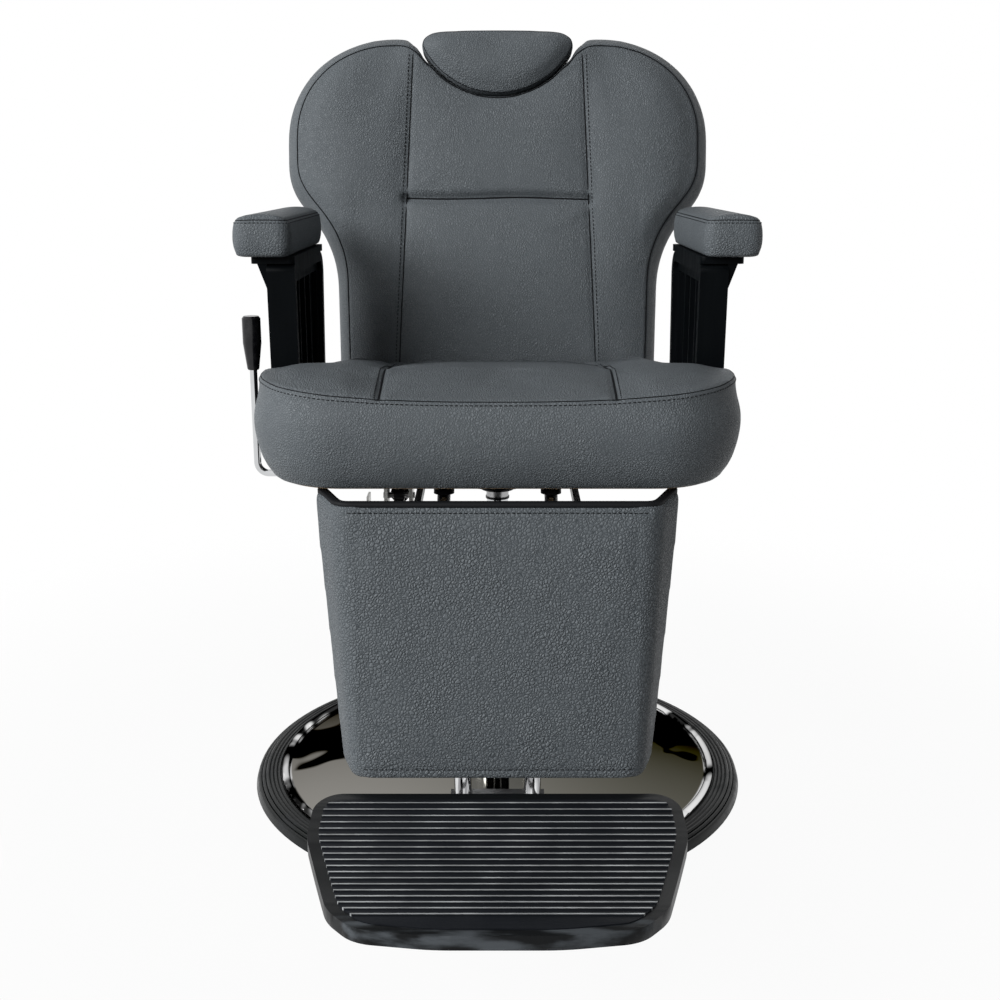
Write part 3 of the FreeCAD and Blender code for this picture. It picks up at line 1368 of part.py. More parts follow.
def foot_plate():
    """Dished aluminium footrest with a turned lip."""
    outline = plate(foot_corners(), *FOOT_BLANK_Z)
    body = foot_profile(0, FOOT_THICK, 10).common(outline)
    inner = plate(offset_corners(foot_corners(), FOOT_LIP), *FOOT_BLANK_Z)
    under = foot_profile(-FOOT_SHEET, FOOT_THICK, 12).common(inner)
    body = body.cut(under)
    half = TUBE_FOOT_X + TUBE_R + 15
    lugs = []
    for x in (-half, half - 8):
        lugs.append(link_plate(x, x + 8, (FOOT_REAR - 26, foot_top_z(FOOT_REAR - 26) - 12),
                               (FOOT_PIVOT_Y, FOOT_PIVOT_Z), 16))
    above = foot_profile(FOOT_THICK * 2 - 4, FOOT_THICK * 2, 40)
    lugs = [lug.cut(above) for lug in lugs]
    body = join([body] + lugs)
    return body.cut(cross_pin(PIN_R + RUN_FIT, -half - 5, half + 5, FOOT_PIVOT_Y, FOOT_PIVOT_Z))


def foot_mat():
    """Rubber tread mat with cross ribs."""
    inner = offset_corners(foot_corners(), FOOT_RIB_MARGIN)
    outline = plate(inner, *FOOT_BLANK_Z)
    mat = foot_profile(MAT_THICK + RUN_FIT, MAT_THICK, 10).common(outline)
    ribs = []
    for i in range(FOOT_RIBS):
        y = FOOT_REAR - FOOT_RIB_MARGIN - 8 - i * FOOT_RIB_PITCH
        z = foot_top_z(y) + MAT_THICK - 0.5
        rib = box(-FOOT_HALF, FOOT_HALF, y - 2.4, y + 2.4, z, z + FOOT_RIB_H)
        ribs.append(rib.common(outline))
    mat = join([mat] + ribs)
    return mat.common(outline)


def pair(shape):
    return {"right": shape, "left": mirror_x(shape)}


def build():
    arm = drill_arm(arm_frame())
    pad = arm_pad()
    parts = {
        "base_ring": base_ring(),
        "base_plate": base_plate(),
        "base_cover": base_cover(),
        "pump_cylinder": pump_cylinder(),
        "flange_bolts": flange_bolts(),
        "pump_shroud": pump_shroud(),
        "shroud_cap": shroud_cap(),
        "gland_bush": gland_bush(),
        "wiper_seal": wiper_seal(),
        "lever_pin": lever_pin(),
        "pump_lever": pump_lever(),
        "pump_plunger": pump_plunger(),
        "ram": ram(),
        "ram_piston": ram_piston(),
        "thrust_washer": thrust_washer(),
        "retaining_bolt": retaining_bolt(),
        "swivel_collar": swivel_collar(),
        "swivel_hub": swivel_hub(),
        "underframe": underframe(),
        "seat_board": seat_board(),
        "seat_cushion": seat_cushion(),
        "arm_bolts": arm_bolts(),
        "hinge_brackets": hinge_brackets(),
        "recline_shaft": recline_shaft(),
        "strut_tubes": strut_tubes(),
        "strut_sockets": strut_sockets(),
        "leg_shaft": leg_shaft(),
        "lock_brackets": lock_brackets(),
        "lock_tray": lock_tray(),
        "spring_pin": spring_pin(),
        "spring_body": spring_body(),
        "spring_rod": spring_rod(),
        "lever_rod": lever_rod(),
        "lever_grip": lever_grip(),
        "release_cam": release_cam(),
        "back_cushion": back_cushion(),
        "back_board": back_board(),
        "back_shell": back_shell(),
        "headrest_guides": headrest_guides(),
        "back_frame": back_frame(),
        "back_pins": back_pins(),
        "coupling_rods": coupling_rods(),
        "head_cushion": head_cushion(),
        "head_plate": head_plate(),
        "head_posts": head_posts(),
        "leg_pad": leg_pad(),
        "leg_board": leg_board(),
        "leg_yoke": leg_yoke(),
        "leg_pins": leg_pins(),
        "leg_tubes": leg_tubes(),
        "leg_clamps": leg_clamps(),
        "foot_bracket": foot_bracket(),
        "foot_pin": foot_pin(),
        "foot_plate": foot_plate(),
        "foot_mat": foot_mat(),
    }
    for side, shape in pair(arm).items():
        parts["arm_frame_" + side] = shape
    for side, shape in pair(pad).items():
        parts["arm_pad_" + side] = shape
    return parts


os.makedirs("parts", exist_ok=True)
for name, shape in build().items():
    shape.exportStep(os.path.join("parts", name + ".step"))
    print(name, len(shape.Solids), "solids", round(shape.Volume / 1000, 1), "cm3", shape.isValid())
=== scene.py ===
import math

import bmesh
import bpy
from mathutils import Matrix, Vector
from mathutils.bvhtree import BVHTree
from mathutils.kdtree import KDTree


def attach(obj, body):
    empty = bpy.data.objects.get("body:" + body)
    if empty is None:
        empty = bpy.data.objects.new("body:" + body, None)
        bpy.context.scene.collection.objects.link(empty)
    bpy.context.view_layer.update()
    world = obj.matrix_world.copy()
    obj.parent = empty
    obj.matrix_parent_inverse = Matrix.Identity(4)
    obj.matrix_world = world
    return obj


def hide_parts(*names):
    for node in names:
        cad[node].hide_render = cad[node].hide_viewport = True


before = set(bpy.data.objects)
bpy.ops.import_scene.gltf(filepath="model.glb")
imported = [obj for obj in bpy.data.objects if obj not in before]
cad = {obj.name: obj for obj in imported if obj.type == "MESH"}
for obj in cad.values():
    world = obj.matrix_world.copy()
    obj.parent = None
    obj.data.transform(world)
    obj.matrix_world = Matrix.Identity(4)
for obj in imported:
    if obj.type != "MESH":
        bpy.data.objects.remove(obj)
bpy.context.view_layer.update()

bpy.context.scene.view_settings.view_transform = "Standard"


# The camera stands 1.75 m in front of the column, a little above the arm pads, and looks
# down. For that distance its height, tilt and lens follow from the round base's outline.
camera = bpy.data.objects.new("camera", bpy.data.cameras.new("camera"))
bpy.context.scene.collection.objects.link(camera)
bpy.context.scene.camera = camera
camera.data.sensor_width = 36
camera.data.lens = 46.4976
camera.data.shift_x = 0.0025
camera.data.clip_start = 0.05
camera.location = (0, -1.75, 0.8615)
camera.rotation_euler = (math.radians(75.506), 0, 0)


# Rubber ring round the base, moulded in one piece with six round ribs on its slope.
# It is pressed round the cast plate and keeps the chromed cover off the floor. Its look
# is built from nodes with the small functions below, and so are the other materials.
class Shade:
    """A node's output. Sums and products of these add the Math nodes they need."""

    def __init__(self, tree, socket=None):
        self.tree = tree
        self.socket = socket

    def node(self, kind, settings=None, inputs=None, out=0):
        made = self.tree.nodes.new("ShaderNode" + kind)
        for key, value in (settings or {}).items():
            setattr(made, key, value)
        for key, value in (inputs or {}).items():
            if isinstance(value, Shade):
                self.tree.links.new(value.socket, made.inputs[key])
            else:
                made.inputs[key].default_value = value
        return Shade(self.tree, made.outputs[out])

    def ends(self, kind):
        self.tree.links.new(self.socket, self.tree.nodes.new("ShaderNode" + kind).inputs[0])

    def math(self, operation, *values):
        return self.node("Math", {"operation": operation}, dict(enumerate(values)))

    def __add__(self, other):
        return self.math("ADD", self, other)

    def __sub__(self, other):
        return self.math("SUBTRACT", self, other)

    def __rsub__(self, other):
        return self.math("SUBTRACT", other, self)

    def __mul__(self, other):
        return self.math("MULTIPLY", self, other)

    def __truediv__(self, other):
        return self.math("DIVIDE", self, other)

    def __abs__(self):
        return self.math("ABSOLUTE", self)

    __radd__ = __add__
    __rmul__ = __mul__

    def between(self, low, high):
        """0 below low, 1 above high, and a soft step between them."""
        inputs = {"Value": self, "From Min": low, "From Max": high}
        return self.node("MapRange", {"interpolation_type": "SMOOTHSTEP"}, inputs)

    def tint(self, first, second):
        """The first colour where this is 0 and the second where it is 1."""
        return self.node("Mix", {"data_type": "RGBA"}, {0: self, 6: first, 7: second}, 2)

    def axis(self, name):
        """One coordinate of a place."""
        return self.node("SeparateXYZ", {}, {"Vector": self}, name)

    def scaled(self, *factors):
        """A place whose pattern is stretched along the axes with factors below 1."""
        return self.node("Mapping", {}, {"Vector": self, "Scale": factors})


def rgb(red, green, blue):
    return (red, green, blue, 1.0)


def finish(name, look, **fixed):
    """Makes a material. look gives what varies; fixed values sit on the shader itself."""
    made = bpy.data.materials.new(name)
    made.use_nodes = True
    tree = made.node_tree
    tree.nodes.clear()
    shader = tree.nodes.new("ShaderNodeBsdfPrincipled")
    output = tree.nodes.new("ShaderNodeOutputMaterial")
    tree.links.new(shader.outputs[0], output.inputs[0])
    for key, value in fixed.items():
        shader.inputs[key.replace("_", " ")].default_value = value
    for key, value in look(Shade(tree)).items():
        tree.links.new(value.socket, shader.inputs[key])
    return made


def whereabouts(s):
    """The place on the object, in metres."""
    return s.node("TexCoord", out="Object")


def spot(s, scale, detail=2.0, place=None, swirl=0.0):
    """Cloudy variation, in spots of about 1 / scale metres."""
    inputs = {"Vector": place or whereabouts(s), "Scale": scale, "Detail": detail,
              "Distortion": swirl}
    return s.node("TexNoise", {}, inputs)


def bump(s, height, distance, strength=1.0):
    inputs = {"Height": height, "Distance": distance, "Strength": strength}
    return s.node("Bump", {}, inputs)


def rubber_look(s):
    dust = spot(s, 30, 4).between(0.45, 0.75)
    pores = spot(s, 1500, 1)
    return {
        "Base Color": dust.tint(rgb(0.004, 0.005, 0.005), rgb(0.011, 0.012, 0.013)),
        "Roughness": 0.30 + 0.22 * dust,
        "Normal": bump(s, pores, 0.0003, 0.4),
    }


def dress(look, *nodes):
    """Gives CAD nodes their finish."""
    for node in nodes:
        for slot in cad[node].material_slots:
            slot.material = look


def break_edges(width, *nodes):
    """Rounds the sharp edges of CAD nodes as moulding, casting or deburring leaves them."""
    for node in nodes:
        weld = cad[node].modifiers.new("weld", "WELD")
        weld.merge_threshold = 0.00002
        edge = cad[node].modifiers.new("edge", "BEVEL")
        edge.width = width
        edge.segments = 2
        edge.limit_method = "ANGLE"
        edge.angle_limit = math.radians(40)
        edge.harden_normals = True


rubber = finish("ring_rubber", rubber_look, Specular_IOR_Level=0.15)
dress(rubber, "base_ring")


# Cover spun from sheet steel and chromed, with a rolled rim at the ring. Its colour holds painted
# reflections: black and brown patches on the slope for a dark room round it, and light and dark
# streaks on the bright rim. Under it lies the cast plate that the pump is bolted to.
def cover_look(s):
    place = whereabouts(s)
    x = place.axis("X")
    y = place.axis("Y")
    radius = s.math("SQRT", x * x + y * y)
    rim = radius.between(0.2990, 0.3020)
    # Painted reflections: black and brown patches on the slope, the brown darker from left to
    # right, and light and dark streaks on the rim.
    wave = spot(s, 7.0, 1.0, place, 1.4)
    across = (x + 0.10).between(-0.2, 0.35)
    brown = across.tint(rgb(0.30, 0.29, 0.27), rgb(0.120, 0.117, 0.100))
    shade = (wave * 0.30 - y).between(0.155, 0.172) + (wave * 0.30 + y).between(0.25, 0.28)
    slope = shade.tint(rgb(0.003, 0.003, 0.003), brown)
    streak = spot(s, 9.0, 1.0, place, 1.6)
    painted_rim_reflection = streak.between(0.42, 0.56).tint(rgb(0.03, 0.03, 0.03), rgb(0.80, 0.80, 0.80))
    wiped = spot(s, 60, 5, place)
    return {
        "Base Color": rim.tint(slope, painted_rim_reflection),
        "Roughness": 0.03 + 0.05 * wiped.between(0.45, 0.8),
    }


def iron_look(s):
    skin = spot(s, 240, 3)
    return {
        "Base Color": skin.tint(rgb(0.018, 0.018, 0.019), rgb(0.045, 0.043, 0.041)),
        "Roughness": 0.6 + 0.25 * skin,
        "Normal": bump(s, skin, 0.0012, 0.5),
    }


reflection_painted_chrome = finish("cover_chrome_painted_reflections", cover_look, Metallic=1.0,
                     Specular_Tint=rgb(0.05, 0.05, 0.05))
cast_iron = finish("cast_iron", iron_look, Metallic=0.3)
dress(reflection_painted_chrome, "base_cover")
dress(cast_iron, "base_plate", "pump_cylinder")


# Column: a chromed tube and cap over the cylinder, and the ground and polished ram that
# slides in its bronze gland. The seat turns on the dark thrust washer at the ram's top.
def chrome_look(s):
    wiped = spot(s, 45, 4).between(0.4, 0.8)
    return {
        "Base Color": wiped.tint(rgb(0.62, 0.63, 0.64), rgb(0.57, 0.58, 0.59)),
        "Roughness": 0.05 + 0.04 * wiped,
    }


def steel_look(s):
    turned = spot(s, 60, 3, whereabouts(s).scaled(1.0, 1.0, 30.0))
    return {
        "Base Color": turned.tint(rgb(0.30, 0.30, 0.31), rgb(0.46, 0.46, 0.46)),
        "Roughness": 0.24 + 0.16 * turned,
    }


def black_steel_look(s):
    skin = spot(s, 900, 2)
    rub = spot(s, 35, 4).between(0.55, 0.8)
    return {
        "Base Color": rub.tint(rgb(0.004, 0.004, 0.005), rgb(0.012, 0.012, 0.013)),
        "Roughness": 0.30 + 0.22 * rub,
        "Normal": bump(s, skin, 0.0003, 0.35),
    }


# Chrome for the struts, tubes and posts: light and dark streaks along their length are painted
# into its colour as reflections.
def painted_streak_look(s):
    line = spot(s, 190, 1, whereabouts(s).scaled(1.0, 1.0, 0.05))
    return {
        "Base Color": line.between(0.35, 0.65).tint(rgb(0.30, 0.30, 0.31),
                                                    rgb(0.86, 0.87, 0.88)),
        "Roughness": 0.07 + 0.08 * line,
    }


chrome = finish("chrome", chrome_look, Metallic=1.0)
painted_streak_chrome = finish("chrome_with_painted_streaks", painted_streak_look, Metallic=1.0)
steel = finish("ground_steel", steel_look, Metallic=1.0)
black_steel = finish("black_paint", black_steel_look, Specular_IOR_Level=0.15)
dress(chrome, "pump_shroud", "shroud_cap", "ram")
dress(steel, "gland_bush", "ram_piston", "swivel_collar", "retaining_bolt", "flange_bolts")
dress(black_steel, "thrust_washer", "swivel_hub")
dress(rubber, "wiper_seal")


# Foot pump behind the column: a forged lever with a ribbed pedal turns on a pin between
# the cylinder's ears and pushes the small plunger down.
dress(chrome, "pump_lever")
dress(steel, "lever_pin", "pump_plunger")
break_edges(0.0012, "pump_lever", "pump_cylinder")


# Welded frame under the seat, painted black, with its hinge brackets and the chromed
# struts that carry the leg rest's shaft. Flat rods couple the leg rest to the back.
dress(black_steel, "underframe", "hinge_brackets", "strut_sockets", "coupling_rods", "back_frame")
dress(black_steel, "leg_yoke", "leg_clamps", "foot_bracket", "head_plate", "release_cam")
dress(painted_streak_chrome, "strut_tubes", "leg_tubes", "head_posts")
dress(steel, "recline_shaft", "leg_shaft", "back_pins", "leg_pins", "foot_pin", "arm_bolts")
dress(steel, "headrest_guides")
break_edges(0.0008, "underframe", "hinge_brackets", "coupling_rods", "leg_clamps", "foot_bracket")


# Lockable gas spring between two plates under the seat, in a bright zinc plated tray
# that is folded from sheet. Its rod is hard chromed.
def zinc_look(s):
    bloom = s.node("TexVoronoi", {}, {"Scale": 90.0, "Randomness": 1.0})
    haze = spot(s, 70, 3)
    return {
        "Base Color": haze.tint(rgb(0.42, 0.42, 0.40), rgb(0.66, 0.66, 0.64)),
        "Roughness": 0.24 + 0.2 * bloom,
    }


zinc = finish("zinc_plate", zinc_look, Metallic=0.85)
dress(zinc, "lock_tray", "lock_brackets")
dress(black_steel, "spring_body")
break_edges(0.0010, "lock_tray", "lock_brackets")
dress(chrome, "spring_rod")
dress(steel, "spring_pin")


# Recline lever at the sitter's right: a bent chromed rod with a black moulded grip that
# swells towards its top.
def gloss_look(s):
    handled = spot(s, 120, 3).between(0.4, 0.7)
    return {
        "Base Color": handled.tint(rgb(0.004, 0.004, 0.005), rgb(0.010, 0.010, 0.011)),
        "Roughness": 0.14 + 0.1 * handled,
    }


gloss_black = finish("grip_plastic", gloss_look, Specular_IOR_Level=0.35)
dress(chrome, "lever_rod")
dress(gloss_black, "lever_grip")


# Moulded arms of black plastic, smooth outside, with a stepped and ribbed recess on the
# side of the sitter. Each is bolted to the frame's ears from below.
def arm_look(s):
    place = whereabouts(s)
    flow = spot(s, 70, 4, place.scaled(1.0, 1.0, 0.12))
    grain = spot(s, 1300, 1, place)
    return {
        "Base Color": flow.tint(rgb(0.0012, 0.0016, 0.002), rgb(0.0030, 0.0038, 0.0045)),
        "Roughness": 0.28 + 0.22 * flow,
        "Normal": bump(s, grain + flow * 1.5, 0.0004, 0.4),
    }


arm_plastic = finish("arm_plastic", arm_look, Specular_IOR_Level=0.02)
dress(arm_plastic, "arm_frame_left", "arm_frame_right")
break_edges(0.0022, "arm_frame_left", "arm_frame_right")


# Plywood boards behind the stuffing: bare under the seat, and painted black in the leg
# rest, where the board is bent to a shallow trough. The back's board is dressed below,
# in black lining, because its edge shows between the cushion and the rear panel.
def board_look(s):
    rings = spot(s, 18.0, 6.0, whereabouts(s).scaled(1.0, 9.0, 9.0), 0.6)
    return {
        "Base Color": rings.tint(rgb(0.19, 0.125, 0.070), rgb(0.42, 0.30, 0.18)),
        "Roughness": 0.62 + 0.2 * rings,
    }


board = finish("plywood", board_look)
dress(board, "seat_board")
dress(black_steel, "leg_board")


# Seat cushion: foam on the board under grained leather. Two channels sewn front to back
# part the middle from the lobes, and a seam with a row of stitches beside it joins the
# boxing to the top. The covers are filled and sewn with the functions below.
def leather_look(s, grains=330.0, depth=0.6):
    """Pebbled grain, grains to the metre, with painted shade darkening the creases between the
    pebbles.
    """
    place = whereabouts(s)
    drift = spot(s, 22, 3, place)
    wander = s.node("TexNoise", {}, {"Vector": place, "Scale": 90.0, "Detail": 2.0}, "Color")
    shifted = s.node("VectorMath", {"operation": "MULTIPLY_ADD"},
                     {0: wander, 1: (0.006, 0.006, 0.006), 2: place})
    cells = s.node("TexVoronoi", {"feature": "DISTANCE_TO_EDGE"},
                   {"Vector": shifted, "Scale": grains, "Randomness": 1.0})
    crease = cells.between(0.0, 0.09)
    pebble = cells.between(0.0, 0.30)
    worn = drift.between(0.3, 0.7)
    fold = spot(s, 9, 2, place)
    # The creases' colour is darkened by the share depth as painted shade; worn lightens it at
    # random.
    crease_shade_and_wear_tone = (1 - (1 - crease) * depth) * (0.71 + 0.24 * worn)
    return {
        "Base Color": crease_shade_and_wear_tone.tint(rgb(0.030, 0.036, 0.041), rgb(0.112, 0.125, 0.135)),
        "Roughness": 0.52 - 0.08 * pebble,
        "Normal": bump(s, pebble * depth * (0.5 + 0.8 * worn) + 2.5 * fold, 0.0013, 0.8),
    }


def thread_look(s):
    twist = spot(s, 2500, 1)
    return {
        "Base Color": twist.tint(rgb(0.002, 0.002, 0.003), rgb(0.008, 0.009, 0.010)),
        "Roughness": 0.5 + 0.2 * twist,
    }


leather = finish("grained_leather", leather_look, Specular_IOR_Level=0.14)
# The coarse leather has deeper painted shade in its creases.
coarse_leather = finish("coarse_leather", lambda s: leather_look(s, 250.0, 0.95),
                        Specular_IOR_Level=0.14)
thread = finish("dark_thread", thread_look, Specular_IOR_Level=0.05)
lining = finish("black_lining", thread_look, Specular_IOR_Level=0.1)
dress(lining, "back_board")


def panel(corners, inset=0.0):
    """Walks round a cut panel inside its edge. Corners are (across, along, radius)."""
    count = len(corners)
    moved = []
    for i, (x, y, radius) in enumerate(corners):
        here = Vector((x, y, 0))
        a = (here - Vector((*corners[i - 1][:2], 0))).normalized()
        b = (Vector((*corners[(i + 1) % count][:2], 0)) - here).normalized()
        left = Vector((-a.y - b.y, a.x + b.x, 0)) * inset / (1 + a.dot(b))
        outward = a.cross(b).z > 0
        moved.append((here + left, max(radius - inset, 0.001) if outward else radius))
    walk = []
    for i, (here, radius) in enumerate(moved):
        a = (moved[i - 1][0] - here).normalized()
        b = (moved[(i + 1) % count][0] - here).normalized()
        half = a.angle(b) / 2
        start, end = here + a * radius / math.tan(half), here + b * radius / math.tan(half)
        centre = here + (a + b).normalized() * radius / math.sin(half)
        for k in range(13):
            walk.append(centre + (start - centre).slerp(end - centre, k / 12) * radius)
    return walk


def mirrored(right):
    return right + [(-x, y, r) for x, y, r in reversed(right)]


def evenly(walk, count, closed=True):
    """Spaces points evenly along a line."""
    ends = walk + walk[:1] if closed else walk
    lengths = [0.0]
    for a, b in zip(ends, ends[1:]):
        lengths.append(lengths[-1] + (b - a).length)
    points = []
    k = 0
    for i in range(count):
        want = lengths[-1] * i / (count if closed else count - 1)
        while k < len(ends) - 2 and lengths[k + 1] < want:
            k += 1
        share = (want - lengths[k]) / max(lengths[k + 1] - lengths[k], 1e-9)
        points.append(ends[k].lerp(ends[k + 1], min(share, 1.0)))
    return points


def level_ring(corners, inset, z, count):
    """A panel's outline at one height."""
    return [Vector((p.x, p.y, z)) for p in evenly(panel(corners, inset), count)]


def crown(inward, reach, power=2.0):
    """How far a cover has risen from its seam: 0 at the seam and 1 beyond the reach."""
    return 1 - (1 - min(inward / reach, 1.0)) ** power


def shown(name, mesh, look):
    made = bpy.data.objects.new(name, mesh)
    bpy.context.scene.collection.objects.link(made)
    mesh.materials.clear()
    mesh.materials.append(look)
    mesh.shade_smooth()
    return made


def close_rings(bm, rows):
    """Joins rings of vertices in their order and fills both ends."""
    for low, high in zip(rows, rows[1:]):
        for i in range(len(low)):
            bm.faces.new((low[i - 1], low[i], high[i], high[i - 1]))
    bm.faces.new(rows[0][::-1])
    bm.faces.new(rows[-1])


def mesh_of(bm, name):
    mesh = bpy.data.meshes.new(name)
    bm.to_mesh(mesh)
    bm.free()
    return mesh


def skin(name, rings, look):
    """Closes a cover through its rings of points."""
    bm = bmesh.new()
    close_rings(bm, [[bm.verts.new(point) for point in ring] for ring in rings])
    bmesh.ops.recalc_face_normals(bm, faces=bm.faces)
    return shown(name, mesh_of(bm, name), look)


def settle(made):
    """Applies a piece's modifiers to its mesh."""
    bpy.context.view_layer.update()
    final = made.evaluated_get(bpy.context.evaluated_depsgraph_get())
    mesh = bpy.data.meshes.new_from_object(final)
    made.modifiers.clear()
    made.data = mesh
    return made


def vectors(items, field):
    flat = [0.0] * (3 * len(items))
    items.foreach_get(field, flat)
    return [Vector(flat[i:i + 3]) for i in range(0, len(flat), 3)]


def places(mesh):
    return vectors(mesh.vertices, "co")


def normals(mesh):
    return vectors(mesh.vertex_normals, "vector")


def move_to(mesh, points):
    mesh.vertices.foreach_set("co", [value for point in points for value in point])
    mesh.update()


def relax(mesh, times):
    bm = bmesh.new()
    bm.from_mesh(mesh)
    for _ in range(times):
        bmesh.ops.smooth_vert(bm, verts=bm.verts, factor=0.5,
                              use_axis_x=True, use_axis_y=True, use_axis_z=True)
    bm.to_mesh(mesh)
    bm.free()


def plump(made, voxel, swell, held):
    """Fills a sewn cover: blown up from inside while its seams and board hold it. held
    gives 1 where a place can't move, and swell is the farthest that the filling pushes
    any other."""
    remesh = made.modifiers.new("weave", "REMESH")
    remesh.mode = "VOXEL"
    remesh.voxel_size = voxel
    remesh.use_smooth_shade = True
    settle(made)
    relax(made.data, 1)
    start = places(made.data)
    grip = [held(point) for point in start]
    start = [point - normal * (1 - hold) * swell * 0.4
             for point, normal, hold in zip(start, normals(made.data), grip)]
    move_to(made.data, start)
    group = made.vertex_groups.new(name="held")
    for i, hold in enumerate(grip):
        if hold > 0.02:
            group.add([i], hold, "REPLACE")
    cloth = made.modifiers.new("fill", "CLOTH")
    cloth.settings.use_pressure = True
    cloth.settings.uniform_pressure_force = 4
    cloth.settings.mass = 0.004
    cloth.settings.vertex_group_mass = "held"
    cloth.settings.effector_weights.gravity = 0
    for step in range(1, 21):
        bpy.context.scene.frame_set(step)
    ends = places(made.evaluated_get(bpy.context.evaluated_depsgraph_get()).data)
    made.modifiers.clear()
    made.vertex_groups.clear()
    moves = [end - begin for begin, end in zip(start, ends)]
    move_to(made.data, [begin + move * min(1.0, swell / max(move.length, 1e-9))
                        for begin, move in zip(start, moves)])
    bpy.context.scene.frame_set(1)
    relax(made.data, 1)
    made.modifiers.new("fine", "SUBSURF").levels = 1
    settle(made)
    made.data.shade_smooth()


def tree_of(path):
    tree = KDTree(len(path))
    for i, point in enumerate(path):
        tree.insert(point, i)
    tree.balance()
    return tree


def grip_at(seams, point, width):
    """1 on a seam, and less to either side of it over about the width."""
    return math.exp(-(seams.find(point)[2] / width) ** 2)


def draw_in(made, path, depth, width):
    """Pulls a cover in along a seam."""
    tree = tree_of(evenly(path, 1200, False))
    moved = []
    for point, normal in zip(places(made.data), normals(made.data)):
        moved.append(point - normal * depth * grip_at(tree, point, width))
    move_to(made.data, moved)


def laid(path, made, lift=0.0, aside=0.0, toward=None):
    """Lays a path on a cover, and moves it aside to the right of its direction."""
    faces = [face.vertices[:] for face in made.data.polygons]
    surface = BVHTree.FromPolygons(places(made.data), faces)
    rows = []
    for i, point in enumerate(path):
        ahead = path[min(i + 1, len(path) - 1)] - path[max(i - 1, 0)]
        if toward:
            start = point - ahead.cross(toward).normalized() * aside - toward * 0.05
            place, normal = surface.ray_cast(start, toward)[:2]
        else:
            place, normal = surface.find_nearest(point)[:2]
            moved = place + ahead.cross(normal).normalized() * aside
            place, normal = surface.find_nearest(moved)[:2]
        if place:
            rows.append((place + normal * lift, normal))
    for _ in range(3):
        inner = [((a[0] + b[0] * 2 + c[0]) / 4, (a[1] + b[1] * 2 + c[1]) / 4)
                 for a, b, c in zip(rows, rows[1:], rows[2:])]
        rows = rows[:1] + inner + rows[-1:]
    return rows


def traced(path, made, lift, aside=0.0, toward=None):
    """The points of a laid path alone."""
    return [place for place, _ in laid(path, made, lift, aside, toward)]


def welt(name, path, radius, look, closed=False):
    """A round cord or a line of thread along a path."""
    curve = bpy.data.curves.new(name, "CURVE")
    curve.dimensions = "3D"
    curve.bevel_depth = radius
    curve.bevel_resolution = 2
    curve.use_fill_caps = True
    spline = curve.splines.new("POLY")
    spline.points.add(len(path) - 1)
    for point, place in zip(spline.points, path):
        point.co = (*place, 1)
    spline.use_cyclic_u = closed
    drawn = bpy.data.objects.new(name, curve)
    mesh = bpy.data.meshes.new_from_object(drawn)
    bpy.data.objects.remove(drawn)
    return shown(name, mesh, look)


# Rings along one stitch, as shares of its length, of its radius and of its rise.
stitch_form = ((-0.5, 0.45, -0.3), (-0.3, 1.0, 0.5), (0.3, 1.0, 0.5), (0.5, 0.45, -0.3))
stitch_sides = 6


def stitches(name, path, look, pitch=0.0056, length=0.0040, thick=0.00055):
    """Separate thread stitches along points with normals, each sunk at both ends."""
    bm = bmesh.new()
    points = [point for point, _ in path]
    total = sum((b - a).length for a, b in zip(points, points[1:]))
    tree = tree_of(points)
    count = max(2, int(total / pitch))
    middles = evenly(points, count, False)
    for here, after in zip(middles, middles[1:]):
        normal = path[tree.find(here)[1]][1]
        along = (after - here).normalized()
        side = along.cross(normal).normalized()
        rows = []
        for share, size, rise in stitch_form:
            centre = (here + after) / 2 + along * length * share + normal * thick * rise
            ring = []
            for k in range(stitch_sides):
                turn = k * math.pi / 3
                offset = side * math.cos(turn) + normal * math.sin(turn)
                ring.append(bm.verts.new(centre + offset * thick * size))
            rows.append(ring)
        close_rings(bm, rows)
    return shown(name, mesh_of(bm, name), look)


seat_corners = mirrored([(0.298, -0.302, 0.112), (0.298, -0.142, 0.014),
                         (0.243, -0.142, 0.010), (0.243, 0.147, 0.025)])
seat_middle = Vector((0, -0.17, 0))
seat_crest_y, seat_crest_z = -0.172, 0.6180

# Rings between a seam and the middle of its panel, as shares of the way to the seam.
crown_shares = (0.985, 0.965, 0.94, 0.9, 0.85, 0.78, 0.7, 0.6, 0.5, 0.4, 0.3, 0.2, 0.1, 0.03)

# How far the rows of stitches run beside their seams.
stitch_gap = 0.0055


def ease(value, low, high):
    share = min(max((value - low) / (high - low), 0.0), 1.0)
    return share * share * (3 - 2 * share)


def seat_seam_z(x, y):
    """Height of the front seam, which climbs to the sides and falls to the rear."""
    return 0.6030 + 0.0165 * (abs(x) / 0.285) ** 2.6 - 0.040 * ease(y, -0.15, 0.0)


def seat_top_z(x, y):
    """The seat's top: it rises to a crest behind the front edge and dips to the rear."""
    if y < seat_crest_y:
        crest = seat_crest_z - 0.0155 * ((seat_crest_y - y) / 0.13) ** 2
    else:
        crest = seat_crest_z - 0.0320 * ease(y, seat_crest_y, 0.11)
    lobe = ease(abs(x), 0.135, 0.185) * (1 - ease(abs(x), 0.235, 0.300))
    return crest + lobe * (0.012 - 0.004 * ease(y, -0.15, 0.05))


def seat_channel(side, y):
    """A channel's distance from the middle, with the channels closing to the front."""
    return side * (0.1365 + 0.007 * (y + 0.29) / 0.437)


